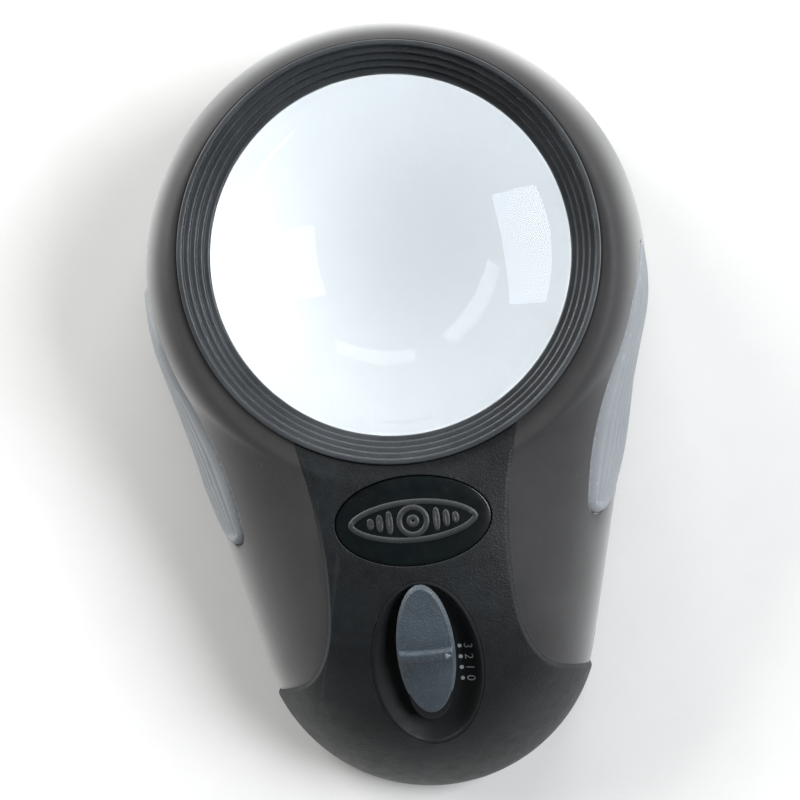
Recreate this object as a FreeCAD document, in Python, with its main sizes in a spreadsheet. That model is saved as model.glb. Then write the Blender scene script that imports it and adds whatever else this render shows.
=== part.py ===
import FreeCAD, Part
import math
import os
import re
import Sketcher
from FreeCAD import Placement, Rotation, Vector

# Lighted stand magnifier for low vision, millimetres.
# +Z is up from the page, +Y runs from the tail to the head, +X is to the right.
# The origin is at the middle of the footprint, on the page.

DIMENSIONS = {
    # plan outline: a head circle and a tail circle with their common tangents
    "head_radius": 48.9,
    "head_y": 25.8,
    "tail_radius": 33.7,
    "tail_y": -42.3,
    # side form: every shell surface falls as a quarter ellipse from the crown
    "base_z": 1.0,
    "crown_z": 38.0,
    "shoulder": 9.0,
    "spine_fall": 20.0,
    "spine_run": 44.0,
    "flank_fall": 24.0,
    "flank_run": 40.0,
    "flank_recess": 0.7,
    "spine_margin": 0.5,
    # shell
    "wall": 2.4,
    "crown_wall": 3.6,
    "floor_z": 3.2,
    "parting_z": 5.0,
    # lens, bezel and viewing well
    "lens_y": 28.0,
    "lens_radius": 36.0,
    "lens_clear_radius": 33.5,
    "lens_bottom_z": 27.7,
    "lens_rim": 3.0,
    "lens_rise": 8.0,
    "bezel_radius": 38.6,
    "bezel_body_radius": 38.0,
    "bezel_bore": 38.1,
    "bezel_top_z": 39.0,
    "terrace_tread": 1.02,
    "terrace_riser": 1.66,
    "barrel_radius": 40.0,
    "barrel_z": 29.5,
    "gasket": 0.5,
    "flange_inner": 34.0,
    "flange": 1.5,
    "upstand_inner": 36.2,
    "upstand_outer": 37.6,
    "shroud_top_radius": 38.0,
    "shroud_base_radius": 39.8,
    "shroud_wall": 1.3,
    "window_radius": 39.2,
    "led_board_outer": 37.4,
    "board": 1.6,
    "led_size": 3.0,
    "led_depth": 0.9,
    "led_circle": 35.7,
    # grips
    "grip_proud": 0.9,
    "grip_depth": 1.2,
    "grip_head_y": 26.5,
    "grip_head_z": 24.5,
    "grip_crest_y": 15.5,
    "grip_crest_z": 31.0,
    "grip_tail_y": -21.5,
    "grip_tail_upper_z": 25.0,
    "grip_tail_lower_z": 17.0,
    "grip_front_arc": 20.0,
    "grip_upper_arc": 80.0,
    "grip_tail_arc": 5.0,
    "grip_lower_arc": 34.5,
    # badge
    "badge_y": -21.1,
    "badge_half_width": 14.5,
    "badge_half_height": 8.4,
    "badge_floor_z": 35.2,
    "badge_plate": 1.2,
    # slide switch, in its own tilted frame
    "switch_y": -48.3,
    "switch_z": 31.5,
    "switch_tilt": 23.0,
    "dish_centre": -0.9,
    "dish_half_length": 17.5,
    "dish_half_width": 10.5,
    "dish_wall": 0.9,
    "dish_depth": 3.7,
    "dish_floor": 1.2,
    "knob_centre": 2.76,
    "knob_half_length": 13.5,
    "knob_half_width": 5.4,
    "knob_lower": -1.3,
    "knob_upper": 0.2,
    "knob_root": -2.2,
    "bar_centre": 2.15,
    "bar_width": 2.5,
    "bar_rise": 0.9,
    "slider_centre": 3.26,
    "slider_half_length": 3.2,
    "slider_half_width": 2.7,
    "slider_lift": 1.0,
    "stem_half_length": 1.5,
    "wiper_half_length": 2.6,
    "wiper_half_width": 1.8,
    "wiper_sheet": 0.4,
    "wiper_foot": 0.6,
    "slot_centre": 2.18,
    "slot_length": 9.9,
    "slot_width": 2.8,
    "frame_length": 14.8,
    "frame_width": 7.0,
    "frame_depth": 4.0,
    "frame_sheet": 0.6,
    "peg_radius": 1.4,
    "peg_x": 5.6,
    "peg_y": 8.2,
    "board_half_width": 7.5,
    "board_half_length": 10.5,
    "contact_half_width": 2.0,
    "contact_length": 1.2,
    "contact_pitch": 2.17,
    "contact_start": -4.9,
    "contact_sheet": 0.3,
    "chip_x": -5.5,
    "chip_start": -5.6,
    "chip_length": 3.2,
    "chip_width": 1.6,
    "chip_pitch": 3.5,
    "chip_height": 0.6,
    # battery bay
    "cell_radius": 5.25,
    "cell_length": 43.5,
    "cell_nub": 1.0,
    "cell_nub_radius": 1.9,
    "cell_pitch": 10.7,
    "cell_y": -32.9,
    "cell_z": 8.75,
    "holder_half_width": 25.3,
    "holder_half_length": 17.3,
    "holder_wall": 1.15,
    "holder_z": 3.3,
    "holder_top_z": 15.1,
    "ear_x": 27.0,
    "ear_y": 10.5,
    "ear_half": 1.9,
    "ear_top_z": 4.7,
    "contact_half_height": 3.5,
    "contact_root": 4.0,
    "contact_tip": 1.5,
    "leaf_sheet": 0.4,
    "door_start_y": -14.7,
    "door_half_width": 24.0,
    "door_rail": 1.0,
    "door_rail_z": 2.1,
    "door_top_z": 3.1,
    "door_gap": 0.2,
    "thumb_half_width": 7.0,
    "thumb_start_y": -66.0,
    "thumb_groove": 1.0,
    "thumb_pitch": 2.0,
    "thumb_depth": 0.6,
    # fasteners and pads
    "boss_radius": 2.4,
    "boss_hole": 0.9,
    "screw_head_radius": 1.9,
    "screw_head": 1.2,
    "screw_length": 9.0,
    "screw_shank": 0.9,
    "socket_radius": 0.8,
    "pad_radius": 3.0,
    "pad_seat": 0.6,
    "wire_radius": 0.5,
}

# a block that reaches past the whole casing on every side
AROUND_X = 70
AROUND_Y = 90

LEVEL_ANGLES = (0, 18, 36, 54, 68, 79)
SPINE_EDGE = (
    (20.5, -3.0),
    (18.3, -13.0),
    (17.0, -25.0),
    (17.1, -36.0),
    (19.3, -46.0),
    (23.5, -51.2),
    (28.0, -52.9),
    (31.9, -54.4),
)
SPINE_RUN_OUT = (60.0, -64.0)
BOSS_PLACES = ((31.1, 59.1), (35.5, -8.0), (29.0, -37.0))
PAD_PLACES = ((26.2, 62.2), (43.9, 19.0), (35.6, -16.0), (28.2, -46.5))
TERRACE_COUNT = 5
LED_COUNT = 8
CONTACT_COUNT = 5
CHIP_COUNT = 3
CELL_COUNT = 3
THUMB_GROOVE_COUNT = 4

# middle lines of the wires, with the two wires of a pair side by side
WIRE_X = (9.0, 11.0)
BATTERY_WIRE = ((-40.0, 15.7), (-30.0, 15.7), (-24.0, 20.1))
LIGHT_WIRE = ((-24.0, 21.0), (-19.0, 21.0), (-14.5, 24.5))

doc = FreeCAD.newDocument("low_vision_magnifier")
sheet = doc.addObject("Spreadsheet::Sheet", "Sheet")
for row, (alias, size) in enumerate(DIMENSIONS.items(), start=1):
    sheet.set(f"A{row}", alias)
    sheet.set(f"B{row}", str(size))
    sheet.setAlias(f"B{row}", alias)
doc.recompute()

nodes = []


def bound(expression):
    """The expression with every dimension's name pointed at the sheet."""
    return re.sub(r"[a-z_]+", lambda m: f"Sheet.{m[0]}" if m[0] in DIMENSIONS else m[0], str(expression))


def number(expression):
    """What the expression is worth now."""
    return float(sheet.evalExpression(bound(expression)))


def node(thing, label):
    """Marks a document object as one finished piece."""
    thing.Label = label
    nodes.append(thing)
    return thing


def bind(thing, **sizes):
    """Ties properties of an object to the sheet; a double underscore stands for a dot."""
    for name, expression in sizes.items():
        thing.setExpression(name.replace("__", "."), bound(expression))
    return thing


def put(thing, x=0, y=0, z=0):
    """Places an object at bound coordinates."""
    return bind(thing, Placement__Base__x=x, Placement__Base__y=y, Placement__Base__z=z)


def box(name, low, high):
    """A block between two bound corners."""
    block = doc.addObject("Part::Box", name)
    sides = [f"({b}) - ({a})" for a, b in zip(low, high)]
    bind(block, Length=sides[0], Width=sides[1], Height=sides[2])
    return put(block, *low)


def cylinder(name, radius, low, high, x=0, y=0):
    """An upright cylinder between two heights."""
    rod = doc.addObject("Part::Cylinder", name)
    bind(rod, Radius=radius, Height=f"({high}) - ({low})")
    return put(rod, x, y, low)


def join(kind, name, *shapes):
    """A boolean of two or more objects: kind is Cut, Fuse or Common."""
    if kind == "Cut":
        result = doc.addObject("Part::Cut", name)
        result.Base, result.Tool = shapes
    else:
        result = doc.addObject("Part::Multi" + kind, name)
        result.Shapes = list(shapes)
    return result


def group(name, shapes):
    """Separate solids kept together as one object."""
    result = doc.addObject("Part::Compound", name)
    result.Links = list(shapes)
    return result


def cut(name, base, *tools):
    """Base without the tools."""
    tool = tools[0] if len(tools) == 1 else group(name + "_tools", tools)
    return join("Cut", name, base, tool)


def body(name):
    return doc.addObject("PartDesign::Body", name)


def sketch_on(owner, name, role, height=0):
    """An empty sketch on one of the body's own origin planes, lifted along its normal."""
    sketch = owner.newObject("Sketcher::SketchObject", name)
    plane = next(f for f in owner.Origin.OriginFeatures if f.Role == role)
    sketch.AttachmentSupport = [(plane, "")]
    sketch.MapMode = "FlatFace"
    sketch.setExpression("AttachmentOffset.Base.z", bound(height))
    return sketch


def arc_between(start, end, radius):
    """The short arc between two points; a positive radius bulges to the right of the way."""
    chord = end - start
    half = chord.Length / 2
    sagitta = abs(radius) - math.sqrt(radius * radius - half * half)
    side = Vector(chord.y, -chord.x, 0).normalize() * math.copysign(sagitta, radius)
    return Part.Arc(start, (start + end) / 2 + side, end)


def outline(sketch, corners):
    """A closed outline through bound corners; a third entry is the radius of the arc to the next."""
    places = [Vector(number(c[0]), number(c[1]), 0) for c in corners]
    for i, corner in enumerate(corners):
        start, end = places[i], places[(i + 1) % len(places)]
        if len(corner) > 2:
            sketch.addGeometry(arc_between(start, end, number(corner[2])))
        else:
            sketch.addGeometry(Part.LineSegment(start, end))
    count = len(corners)
    for i, corner in enumerate(corners):
        first, last = 1, 2
        if len(corner) > 2 and number(corner[2]) < 0:
            first, last = 2, 1
        following = corners[(i + 1) % count]
        next_first = 2 if len(following) > 2 and number(following[2]) < 0 else 1
        sketch.addConstraint(Sketcher.Constraint("Coincident", i, last, (i + 1) % count, next_first))
        for kind, expression in (("DistanceX", corner[0]), ("DistanceY", corner[1])):
            at = sketch.addConstraint(Sketcher.Constraint(kind, -1, 1, i, first, number(expression)))
            sketch.setExpression(f"Constraints[{at}]", bound(expression))
        if len(corner) > 2:
            at = sketch.addConstraint(Sketcher.Constraint("Radius", i, abs(number(corner[2]))))
            sketch.setExpression(f"Constraints[{at}]", f"abs({bound(corner[2])})")
    return sketch


def ellipse_sketch(sketch, x, y, half_x, half_y):
    """An ellipse whose axes lie along the sketch's axes."""
    centre = Vector(number(x), number(y), 0)
    across = Vector(number(half_x), 0, 0)
    along = Vector(0, number(half_y), 0)
    wide = across.Length > along.Length
    first, second = (across, along) if wide else (along, across)
    sketch.addGeometry(Part.Ellipse(centre + first, centre + second, centre))
    return sketch


def revolved(name, corners, x=0, y="lens_y"):
    """A solid turned about the upright axis through (x, y) from an outline of radius and height."""
    owner = body(name)
    sketch = outline(sketch_on(owner, name + "_profile", "XZ_Plane"), corners)
    turn = owner.newObject("PartDesign::Revolution", name + "_turn")
    turn.Profile = sketch
    turn.ReferenceAxis = (sketch, ["V_Axis"])
    turn.Angle = 360
    return put(owner, x, y)


def padded(name, role, corners, length, height=0, midplane=False):
    """A solid padded from an outline on an origin plane."""
    owner = body(name)
    sketch = outline(sketch_on(owner, name + "_profile", role, height), corners)
    return pad(owner, sketch, length, midplane)


def padded_ellipse(name, x, y, half_x, half_y, low, high):
    """An upright elliptic block between two heights."""
    owner = body(name)
    sketch = sketch_on(owner, name + "_profile", "XY_Plane", low)
    ellipse_sketch(sketch, x, y, half_x, half_y)
    return pad(owner, sketch, f"({high}) - ({low})")


def pad(owner, sketch, length, midplane=False):
    feature = owner.newObject("PartDesign::Pad", owner.Name + "_pad")
    feature.Profile = sketch
    feature.Midplane = midplane
    feature.setExpression("Length", bound(length))
    return owner


def hull_sketch(owner, name, height, head_radius, tail_radius, tail_y):
    """Two circles on the Y axis and their outer tangents, drawn as one outline."""
    sketch = sketch_on(owner, name, "XY_Plane", height)
    radii = number(head_radius), number(tail_radius)
    centres = number("head_y"), number(tail_y)
    lean = math.asin((radii[0] - radii[1]) / (centres[0] - centres[1]))
    turns = (-lean, math.pi + lean), (math.pi + lean, 2 * math.pi - lean)
    for radius, centre, (start, end) in zip(radii, centres, turns):
        circle = Part.Circle(Vector(0, centre, 0), Vector(0, 0, 1), radius)
        sketch.addGeometry(Part.ArcOfCircle(circle, start, end))
    ends = [
        [Vector(radius * math.cos(turn), centre + radius * math.sin(turn), 0) for turn in pair]
        for radius, centre, pair in zip(radii, centres, turns)
    ]
    sketch.addGeometry(Part.LineSegment(ends[0][1], ends[1][0]))
    sketch.addGeometry(Part.LineSegment(ends[1][1], ends[0][0]))
    for first, at, second, to in ((0, 2, 2, 1), (2, 2, 1, 1), (1, 2, 3, 1), (3, 2, 0, 1)):
        sketch.addConstraint(Sketcher.Constraint("Tangent", first, at, second, to))
    for arc, radius, centre in ((0, head_radius, "head_y"), (1, tail_radius, tail_y)):
        sketch.addConstraint(Sketcher.Constraint("PointOnObject", arc, 3, -2))
        at = sketch.addConstraint(Sketcher.Constraint("Radius", arc, number(radius)))
        sketch.setExpression(f"Constraints[{at}]", bound(radius))
        at = sketch.addConstraint(Sketcher.Constraint("DistanceY", -1, 1, arc, 3, number(centre)))
        sketch.setExpression(f"Constraints[{at}]", bound(centre))
    return sketch


def shell_form(name, fall, run, side=0, top=0, head=0, base="base_z"):
    """A closed form lofted through level sections that shrink along a quarter ellipse.

    fall and run say how far the tail circle shrinks and moves headward at the crown,
    side, head and top how much smaller the form is than the outline and the crown.
    """
    owner = body(name)
    sections = []
    for angle in LEVEL_ANGLES:
        shrink = f"(1 - cos({angle}))"
        sections.append(
            hull_sketch(
                owner,
                f"{name}_level_{angle}",
                f"{base} + (crown_z - ({top}) - {base}) * sin({angle})",
                f"head_radius - ({head}) - shoulder * {shrink}",
                f"tail_radius - ({side}) - {fall} * {shrink}",
                f"tail_y + {run} * {shrink}",
            )
        )
    loft = owner.newObject("PartDesign::AdditiveLoft", name + "_loft")
    loft.Profile = sections[0]
    loft.Sections = sections[1:]
    return owner


def spine_form(name, **sizes):
    return shell_form(name, "spine_fall", "spine_run", **sizes)


def flank_form(name, inset=0, **sizes):
    side = f"flank_recess + ({inset})"
    return shell_form(name, "flank_fall", "flank_run", side=side, head=inset, **sizes)


def spine_block():
    """The plan region of the proud spine: a bell that widens into the whole tail."""
    owner = body("spine_block")
    sketch = sketch_on(owner, "spine_plan", "XY_Plane")
    starts, ends = [], []
    for side in (1, -1):
        points = [Vector(side * x, y, 0) for x, y in SPINE_EDGE]
        curve = Part.BSplineCurve()
        curve.interpolate(points)
        sketch.addGeometry(curve)
        corner = Vector(side * SPINE_RUN_OUT[0], SPINE_RUN_OUT[1], 0)
        end = Vector(corner.x, -AROUND_Y, 0)
        sketch.addGeometry(Part.LineSegment(points[-1], corner))
        sketch.addGeometry(Part.LineSegment(corner, end))
        starts.append(points[0])
        ends.append(end)
    sketch.addGeometry(Part.LineSegment(*starts))
    sketch.addGeometry(Part.LineSegment(*ends))
    return pad(owner, sketch, "crown_z + 10")


def casing():
    """The outer form of both shells together, solid."""
    spine = spine_form("spine_form", head="-spine_margin")
    flank = flank_form("flank_form")
    around = box("around", (-AROUND_X, -AROUND_Y, 0), (AROUND_X, AROUND_Y, "crown_z + 10"))
    beside_spine = cut("beside_spine", around, spine_block())
    scoops = cut("scoops", beside_spine, flank)
    return cut("casing", spine, scoops)


def hollow():
    """The space inside both shells."""
    sizes = {"top": "crown_wall", "base": "floor_z"}
    spine = spine_form("hollow_spine", side="wall", head="wall", **sizes)
    flank = flank_form("hollow_flank", "wall", **sizes)
    return join("Common", "hollow", spine, flank)


def both_sides(places):
    return [(side * x, y) for x, y in places for side in (1, -1)]


def tilt(thing):
    """Puts an object into the switch's tilted frame: Y runs up the slope, Z stands off it."""
    rotation = Rotation(Vector(1, 0, 0), number("switch_tilt"))
    thing.Placement = Placement(Vector(0, number("switch_y"), number("switch_z")), rotation)
    return thing


def knob_oval(name, inset, low, high):
    """An oval slab of the knob, smaller than its outline by the inset."""
    width, length = f"knob_half_width - ({inset})", f"knob_half_length - ({inset})"
    return padded_ellipse(name, 0, "knob_centre", width, length, low, high)


def make_shells():
    whole = casing()
    inside = hollow()
    under = box("under_parting", (-AROUND_X, -AROUND_Y, -5), (AROUND_X, AROUND_Y, "parting_z"))

    # upper shell
    upper = cut("upper_solid", whole, under)
    upper_skin = cut("upper_skin", upper, inside)
    barrel = cylinder("barrel", "barrel_radius", "barrel_z", "crown_z - 2", 0, "lens_y")
    bosses = [
        cylinder(f"boss_{i}", "boss_radius", "parting_z", "crown_z - 4", x, y)
        for i, (x, y) in enumerate(both_sides(BOSS_PLACES))
    ]
    boss_form = flank_form("boss_form", 0.6)
    inner_posts = join("Common", "inner_posts", join("Fuse", "boss_set", *bosses), boss_form)
    upper_ribbed = join("Fuse", "upper_ribbed", upper_skin, barrel, inner_posts)
    bore = cylinder("bore", "bezel_bore", 0, "crown_z + 10", 0, "lens_y")
    holes = [
        cylinder(f"boss_hole_{i}", "boss_hole", 0, "screw_length + 2", x, y)
        for i, (x, y) in enumerate(both_sides(BOSS_PLACES))
    ]
    dish_hole = tilt(
        padded_ellipse("dish_hole", 0, "dish_centre", "dish_half_width", "dish_half_length", -9, 9)
    )
    badge_recess = padded_ellipse(
        "badge_recess",
        0,
        "badge_y",
        "badge_half_width",
        "badge_half_height",
        "badge_floor_z",
        "crown_z + 5",
    )
    leaf = padded(
        "grip_leaf",
        "YZ_Plane",
        [
            ("grip_head_y", "grip_head_z", "grip_front_arc"),
            ("grip_crest_y", "grip_crest_z", "grip_upper_arc"),
            ("grip_tail_y", "grip_tail_upper_z", "grip_tail_arc"),
            ("grip_tail_y", "grip_tail_lower_z", "grip_lower_arc"),
        ],
        2 * AROUND_X,
        midplane=True,
    )
    grip_bed = flank_form("grip_bed", "grip_depth", top="grip_depth")
    grip_skin = flank_form("grip_skin", "-grip_proud", top="-grip_proud")
    recess = cut("grip_recess", leaf, grip_bed)
    node(
        cut("top_housing", upper_ribbed, bore, dish_hole, badge_recess, recess, *holes),
        "top_housing",
    )

    # grips
    pair = join("Common", "grip_pair", recess, grip_skin)
    for name, low, high in (("left_grip", -AROUND_X, 0), ("right_grip", 0, AROUND_X)):
        half = box(name + "_half", (low, -AROUND_Y, 0), (high, AROUND_Y, "crown_z"))
        node(join("Common", name, pair, half), name)

    # lower shell
    lower = join("Common", "lower_solid", whole, under)
    lower_skin = cut("lower_skin", lower, inside)
    posts = [
        cylinder(f"post_{i}", "boss_radius", "floor_z", "parting_z", x, y)
        for i, (x, y) in enumerate(both_sides(BOSS_PLACES))
    ]
    floor_posts = join("Common", "floor_posts", join("Fuse", "post_set", *posts), boss_form)
    lower_posted = join("Fuse", "lower_posted", lower_skin, floor_posts)
    window = cylinder("window", "window_radius", 0, 10, 0, "lens_y")
    gap = "door_gap"
    door_mouth = box(
        "door_mouth",
        (f"-door_half_width - {gap}", -AROUND_Y, 0),
        (f"door_half_width + {gap}", f"door_start_y + {gap}", "floor_z"),
    )
    door_groove = box(
        "door_groove",
        (f"-door_half_width - door_rail - {gap}", -AROUND_Y, "door_rail_z - 0.1"),
        (f"door_half_width + door_rail + {gap}", f"door_start_y + {gap}", "floor_z"),
    )
    shanks = []
    for i, (x, y) in enumerate(both_sides(BOSS_PLACES)):
        shanks.append(cylinder(f"shank_hole_{i}", "screw_shank + 0.2", 0, 6, x, y))
        shanks.append(cylinder(f"head_hole_{i}", "screw_head_radius + 0.2", 0, "base_z + screw_head", x, y))
    pad_holes = [
        cylinder(f"pad_hole_{i}", "pad_radius + 0.1", 0, "base_z + pad_seat", x, y)
        for i, (x, y) in enumerate(both_sides(PAD_PLACES))
    ]
    node(
        cut("bottom_housing", lower_posted, window, door_mouth, door_groove, *shanks, *pad_holes),
        "bottom_housing",
    )

    # battery door
    panel = box(
        "door_panel",
        ("-door_half_width", -AROUND_Y, "base_z"),
        ("door_half_width", "door_start_y", "door_top_z"),
    )
    rails = box(
        "door_rails",
        ("-door_half_width - door_rail", -AROUND_Y, "door_rail_z"),
        ("door_half_width + door_rail", "door_start_y", "door_top_z"),
    )
    door_slab = join("Common", "door_slab", join("Fuse", "door_plate", panel, rails), whole)
    grooves = []
    for i in range(THUMB_GROOVE_COUNT):
        start = f"thumb_start_y + {i} * thumb_pitch"
        grooves.append(
            box(
                f"thumb_groove_{i}",
                ("-thumb_half_width", start, 0),
                ("thumb_half_width", f"{start} + thumb_groove", "base_z + thumb_depth"),
            )
        )
    node(cut("battery_door", door_slab, *grooves), "battery_door")


def make_optics():
    lens_top = "lens_bottom_z + lens_rim"
    cap_radius = "lens_clear_radius - 0.1"
    sphere = f"(({cap_radius})^2 + lens_rise^2) / (2 * lens_rise)"
    node(
        revolved(
            "lens",
            [
                (0, "lens_bottom_z - lens_rise", sphere),
                (cap_radius, "lens_bottom_z"),
                ("lens_radius", "lens_bottom_z"),
                ("lens_radius", lens_top),
                (cap_radius, lens_top, sphere),
                (0, f"{lens_top} + lens_rise"),
            ],
        ),
        "lens",
    )
    node(
        revolved(
            "lens_gasket",
            [
                ("flange_inner", "lens_bottom_z - gasket"),
                ("lens_radius", "lens_bottom_z - gasket"),
                ("lens_radius", "lens_bottom_z"),
                ("flange_inner", "lens_bottom_z"),
            ],
        ),
        "lens_gasket",
    )
    shell_top = f"base_z + (crown_z - base_z) * sin({LEVEL_ANGLES[-1]})"
    steps = []
    for i in range(TERRACE_COUNT):
        height = f"bezel_top_z - {i} * terrace_riser"
        steps.append((f"bezel_radius - {i} * terrace_tread", height))
        steps.append((f"bezel_radius - {i + 1} * terrace_tread", height))
    node(
        revolved(
            "lens_bezel",
            steps
            + [
                (f"bezel_radius - {TERRACE_COUNT} * terrace_tread", lens_top),
                ("lens_radius + 0.1", lens_top),
                ("lens_radius + 0.1", "lens_bottom_z - gasket + 2.8"),
                ("bezel_body_radius", "lens_bottom_z - gasket + 2.8"),
                ("bezel_body_radius", shell_top),
                ("bezel_radius", shell_top),
            ],
        ),
        "lens_bezel",
    )
    seat = "lens_bottom_z - gasket"
    node(
        revolved(
            "light_shroud",
            [
                ("flange_inner", f"{seat} - flange"),
                ("shroud_top_radius", f"{seat} - flange"),
                ("shroud_base_radius", "floor_z"),
                ("shroud_base_radius + shroud_wall", "floor_z"),
                ("shroud_top_radius + shroud_wall", seat),
                ("upstand_outer", seat),
                ("upstand_outer", f"{seat} + 2.8"),
                ("upstand_inner", f"{seat} + 2.8"),
                ("upstand_inner", seat),
                ("flange_inner", seat),
            ],
        ),
        "light_shroud",
    )
    board_top = f"{seat} - flange"
    node(
        revolved(
            "led_ring_board",
            [
                ("flange_inner", f"{board_top} - board"),
                ("led_board_outer", f"{board_top} - board"),
                ("led_board_outer", board_top),
                ("flange_inner", board_top),
            ],
        ),
        "led_ring_board",
    )
    leds = []
    for i in range(LED_COUNT):
        led = box(
            f"led_{i}",
            ("-led_size / 2", "-led_size / 2", f"{board_top} - board - led_depth"),
            ("led_size / 2", "led_size / 2", f"{board_top} - board"),
        )
        turn = 360 / LED_COUNT * (i + 0.5)
        cos, sin = f"cos({turn})", f"sin({turn})"
        bind(
            led,
            Placement__Base__x=f"led_circle * {cos} - led_size / 2 * ({cos} - {sin})",
            Placement__Base__y=f"lens_y + led_circle * {sin} - led_size / 2 * ({sin} + {cos})",
        )
        led.Placement.Rotation = Rotation(Vector(0, 0, 1), turn)
        leds.append(led)
    node(group("white_leds", leds), "white_leds")


def make_badge():
    node(
        padded_ellipse(
            "badge_plate",
            0,
            "badge_y",
            "badge_half_width - 0.15",
            "badge_half_height - 0.15",
            "badge_floor_z",
            "badge_floor_z + badge_plate",
        ),
        "badge_plate",
    )


def make_switch():
    skin = doc.getObject("casing")
    floor_low = "-dish_depth - dish_floor"
    tub = padded_ellipse(
        "dish_tub", 0, "dish_centre", "dish_half_width - 0.1", "dish_half_length - 0.1", floor_low, 9
    )
    bowl = padded_ellipse(
        "dish_bowl",
        0,
        "dish_centre",
        "dish_half_width - dish_wall",
        "dish_half_length - dish_wall",
        "-dish_depth",
        10,
    )
    slot = box(
        "dish_slot",
        ("-slot_width / 2", "slot_centre - slot_length / 2", f"{floor_low} - 1"),
        ("slot_width / 2", "slot_centre + slot_length / 2", 0),
    )
    frame_low = f"{floor_low} - frame_depth"
    pegs = [
        cylinder(
            f"dish_peg_{i}",
            "peg_radius",
            frame_low,
            floor_low,
            f"{side} * peg_x",
            f"slot_centre + {end} * peg_y",
        )
        for i, (side, end) in enumerate(((1, 1), (-1, 1), (1, -1), (-1, -1)))
    ]
    board_low = f"{frame_low} - board"
    screws = []
    for i, side in enumerate((1, -1)):
        place = f"{side} * peg_x", f"slot_centre + {side} * peg_y"
        shank = cylinder(f"board_shank_{i}", 0.6, board_low, f"{frame_low} + 3", *place)
        head = cylinder(f"board_head_{i}", 1.2, f"{board_low} - 1", board_low, *place)
        screws.append(join("Fuse", f"board_screw_{i}", shank, head))
    drilled = cut("dish_drilled", join("Fuse", "dish_pegged", tub, *pegs), bowl, slot, *screws)
    dish = join("Common", "switch_dish", tilt(drilled), skin)
    node(dish, "switch_dish")
    node(tilt(group("board_screws", screws)), "board_screws")

    can = box(
        "frame_can",
        ("-frame_width / 2", "slot_centre - frame_length / 2", frame_low),
        ("frame_width / 2", "slot_centre + frame_length / 2", floor_low),
    )
    cavity = box(
        "frame_cavity",
        (
            "-frame_width / 2 + frame_sheet",
            "slot_centre - frame_length / 2 + frame_sheet",
            f"{frame_low} - 1",
        ),
        (
            "frame_width / 2 - frame_sheet",
            "slot_centre + frame_length / 2 - frame_sheet",
            f"{floor_low} - frame_sheet",
        ),
    )
    frame_slot = box(
        "frame_slot",
        ("-slot_width / 2", "slot_centre - slot_length / 2", f"{frame_low} - 1"),
        ("slot_width / 2", "slot_centre + slot_length / 2", 0),
    )
    node(tilt(cut("switch_frame", can, cavity, frame_slot)), "switch_frame")

    plate = box(
        "board_plate",
        ("-board_half_width", "slot_centre - board_half_length", board_low),
        ("board_half_width", "slot_centre + board_half_length", frame_low),
    )
    node(tilt(cut("control_board", plate, *screws)), "control_board")
    strips = []
    for i in range(CONTACT_COUNT):
        start = f"slot_centre + contact_start + {i} * contact_pitch"
        strips.append(
            box(
                f"contact_{i}",
                ("-contact_half_width", start, frame_low),
                ("contact_half_width", f"{start} + contact_length", f"{frame_low} + contact_sheet"),
            )
        )
    node(tilt(group("switch_contacts", strips)), "switch_contacts")
    chips = []
    for i in range(CHIP_COUNT):
        start = f"slot_centre + chip_start + {i} * chip_pitch"
        chips.append(
            box(
                f"resistor_{i}",
                ("chip_x", start, f"{board_low} - chip_height"),
                ("chip_x + chip_length", f"{start} + chip_width", board_low),
            )
        )
    node(tilt(group("board_resistors", chips)), "board_resistors")

    carriage_low = f"{frame_low} + slider_lift"
    carriage = box(
        "slider_block",
        ("-slider_half_width", "slider_centre - slider_half_length", carriage_low),
        ("slider_half_width", "slider_centre + slider_half_length", f"{floor_low} - frame_sheet - 0.1"),
    )
    stem = box(
        "slider_stem",
        ("-slot_width / 2 + 0.2", "slider_centre - stem_half_length", carriage_low),
        ("slot_width / 2 - 0.2", "slider_centre + stem_half_length", "knob_root"),
    )
    node(tilt(join("Fuse", "switch_slider", carriage, stem)), "switch_slider")
    leaf_low = f"{carriage_low} - wiper_sheet"
    leaf = box(
        "wiper_leaf",
        ("-wiper_half_width", "slider_centre - wiper_half_length", leaf_low),
        ("wiper_half_width", "slider_centre + wiper_half_length", carriage_low),
    )
    feet = []
    for i, start in enumerate(
        ("slider_centre - wiper_half_length + 0.2", "slider_centre + wiper_half_length - wiper_foot - 0.2")
    ):
        feet.append(
            box(
                f"wiper_foot_{i}",
                ("-wiper_half_width + 0.3", start, f"{leaf_low} - 0.2"),
                ("wiper_half_width - 0.3", f"{start} + wiper_foot", f"{leaf_low} + 0.1"),
            )
        )
    node(tilt(join("Fuse", "contact_wiper", leaf, *feet)), "contact_wiper")

    cap = knob_oval("knob_cap", 0, "knob_lower", "knob_upper")
    root = padded_ellipse(
        "knob_skirt",
        0,
        "knob_centre",
        "knob_half_width - 2",
        "knob_half_length - 4.5",
        "knob_root",
        "knob_lower",
    )
    bar_stock = box(
        "knob_bar_stock",
        (-10, "bar_centre - bar_width / 2", "knob_upper"),
        (10, "bar_centre + bar_width / 2", "knob_upper + bar_rise"),
    )
    bar_limit = knob_oval("knob_bar_limit", 0.8, "knob_upper - 5", "knob_upper + 5")
    bar = join("Common", "knob_bar", bar_stock, bar_limit)
    node(tilt(join("Fuse", "slide_knob", cap, root, bar)), "slide_knob")


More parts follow.
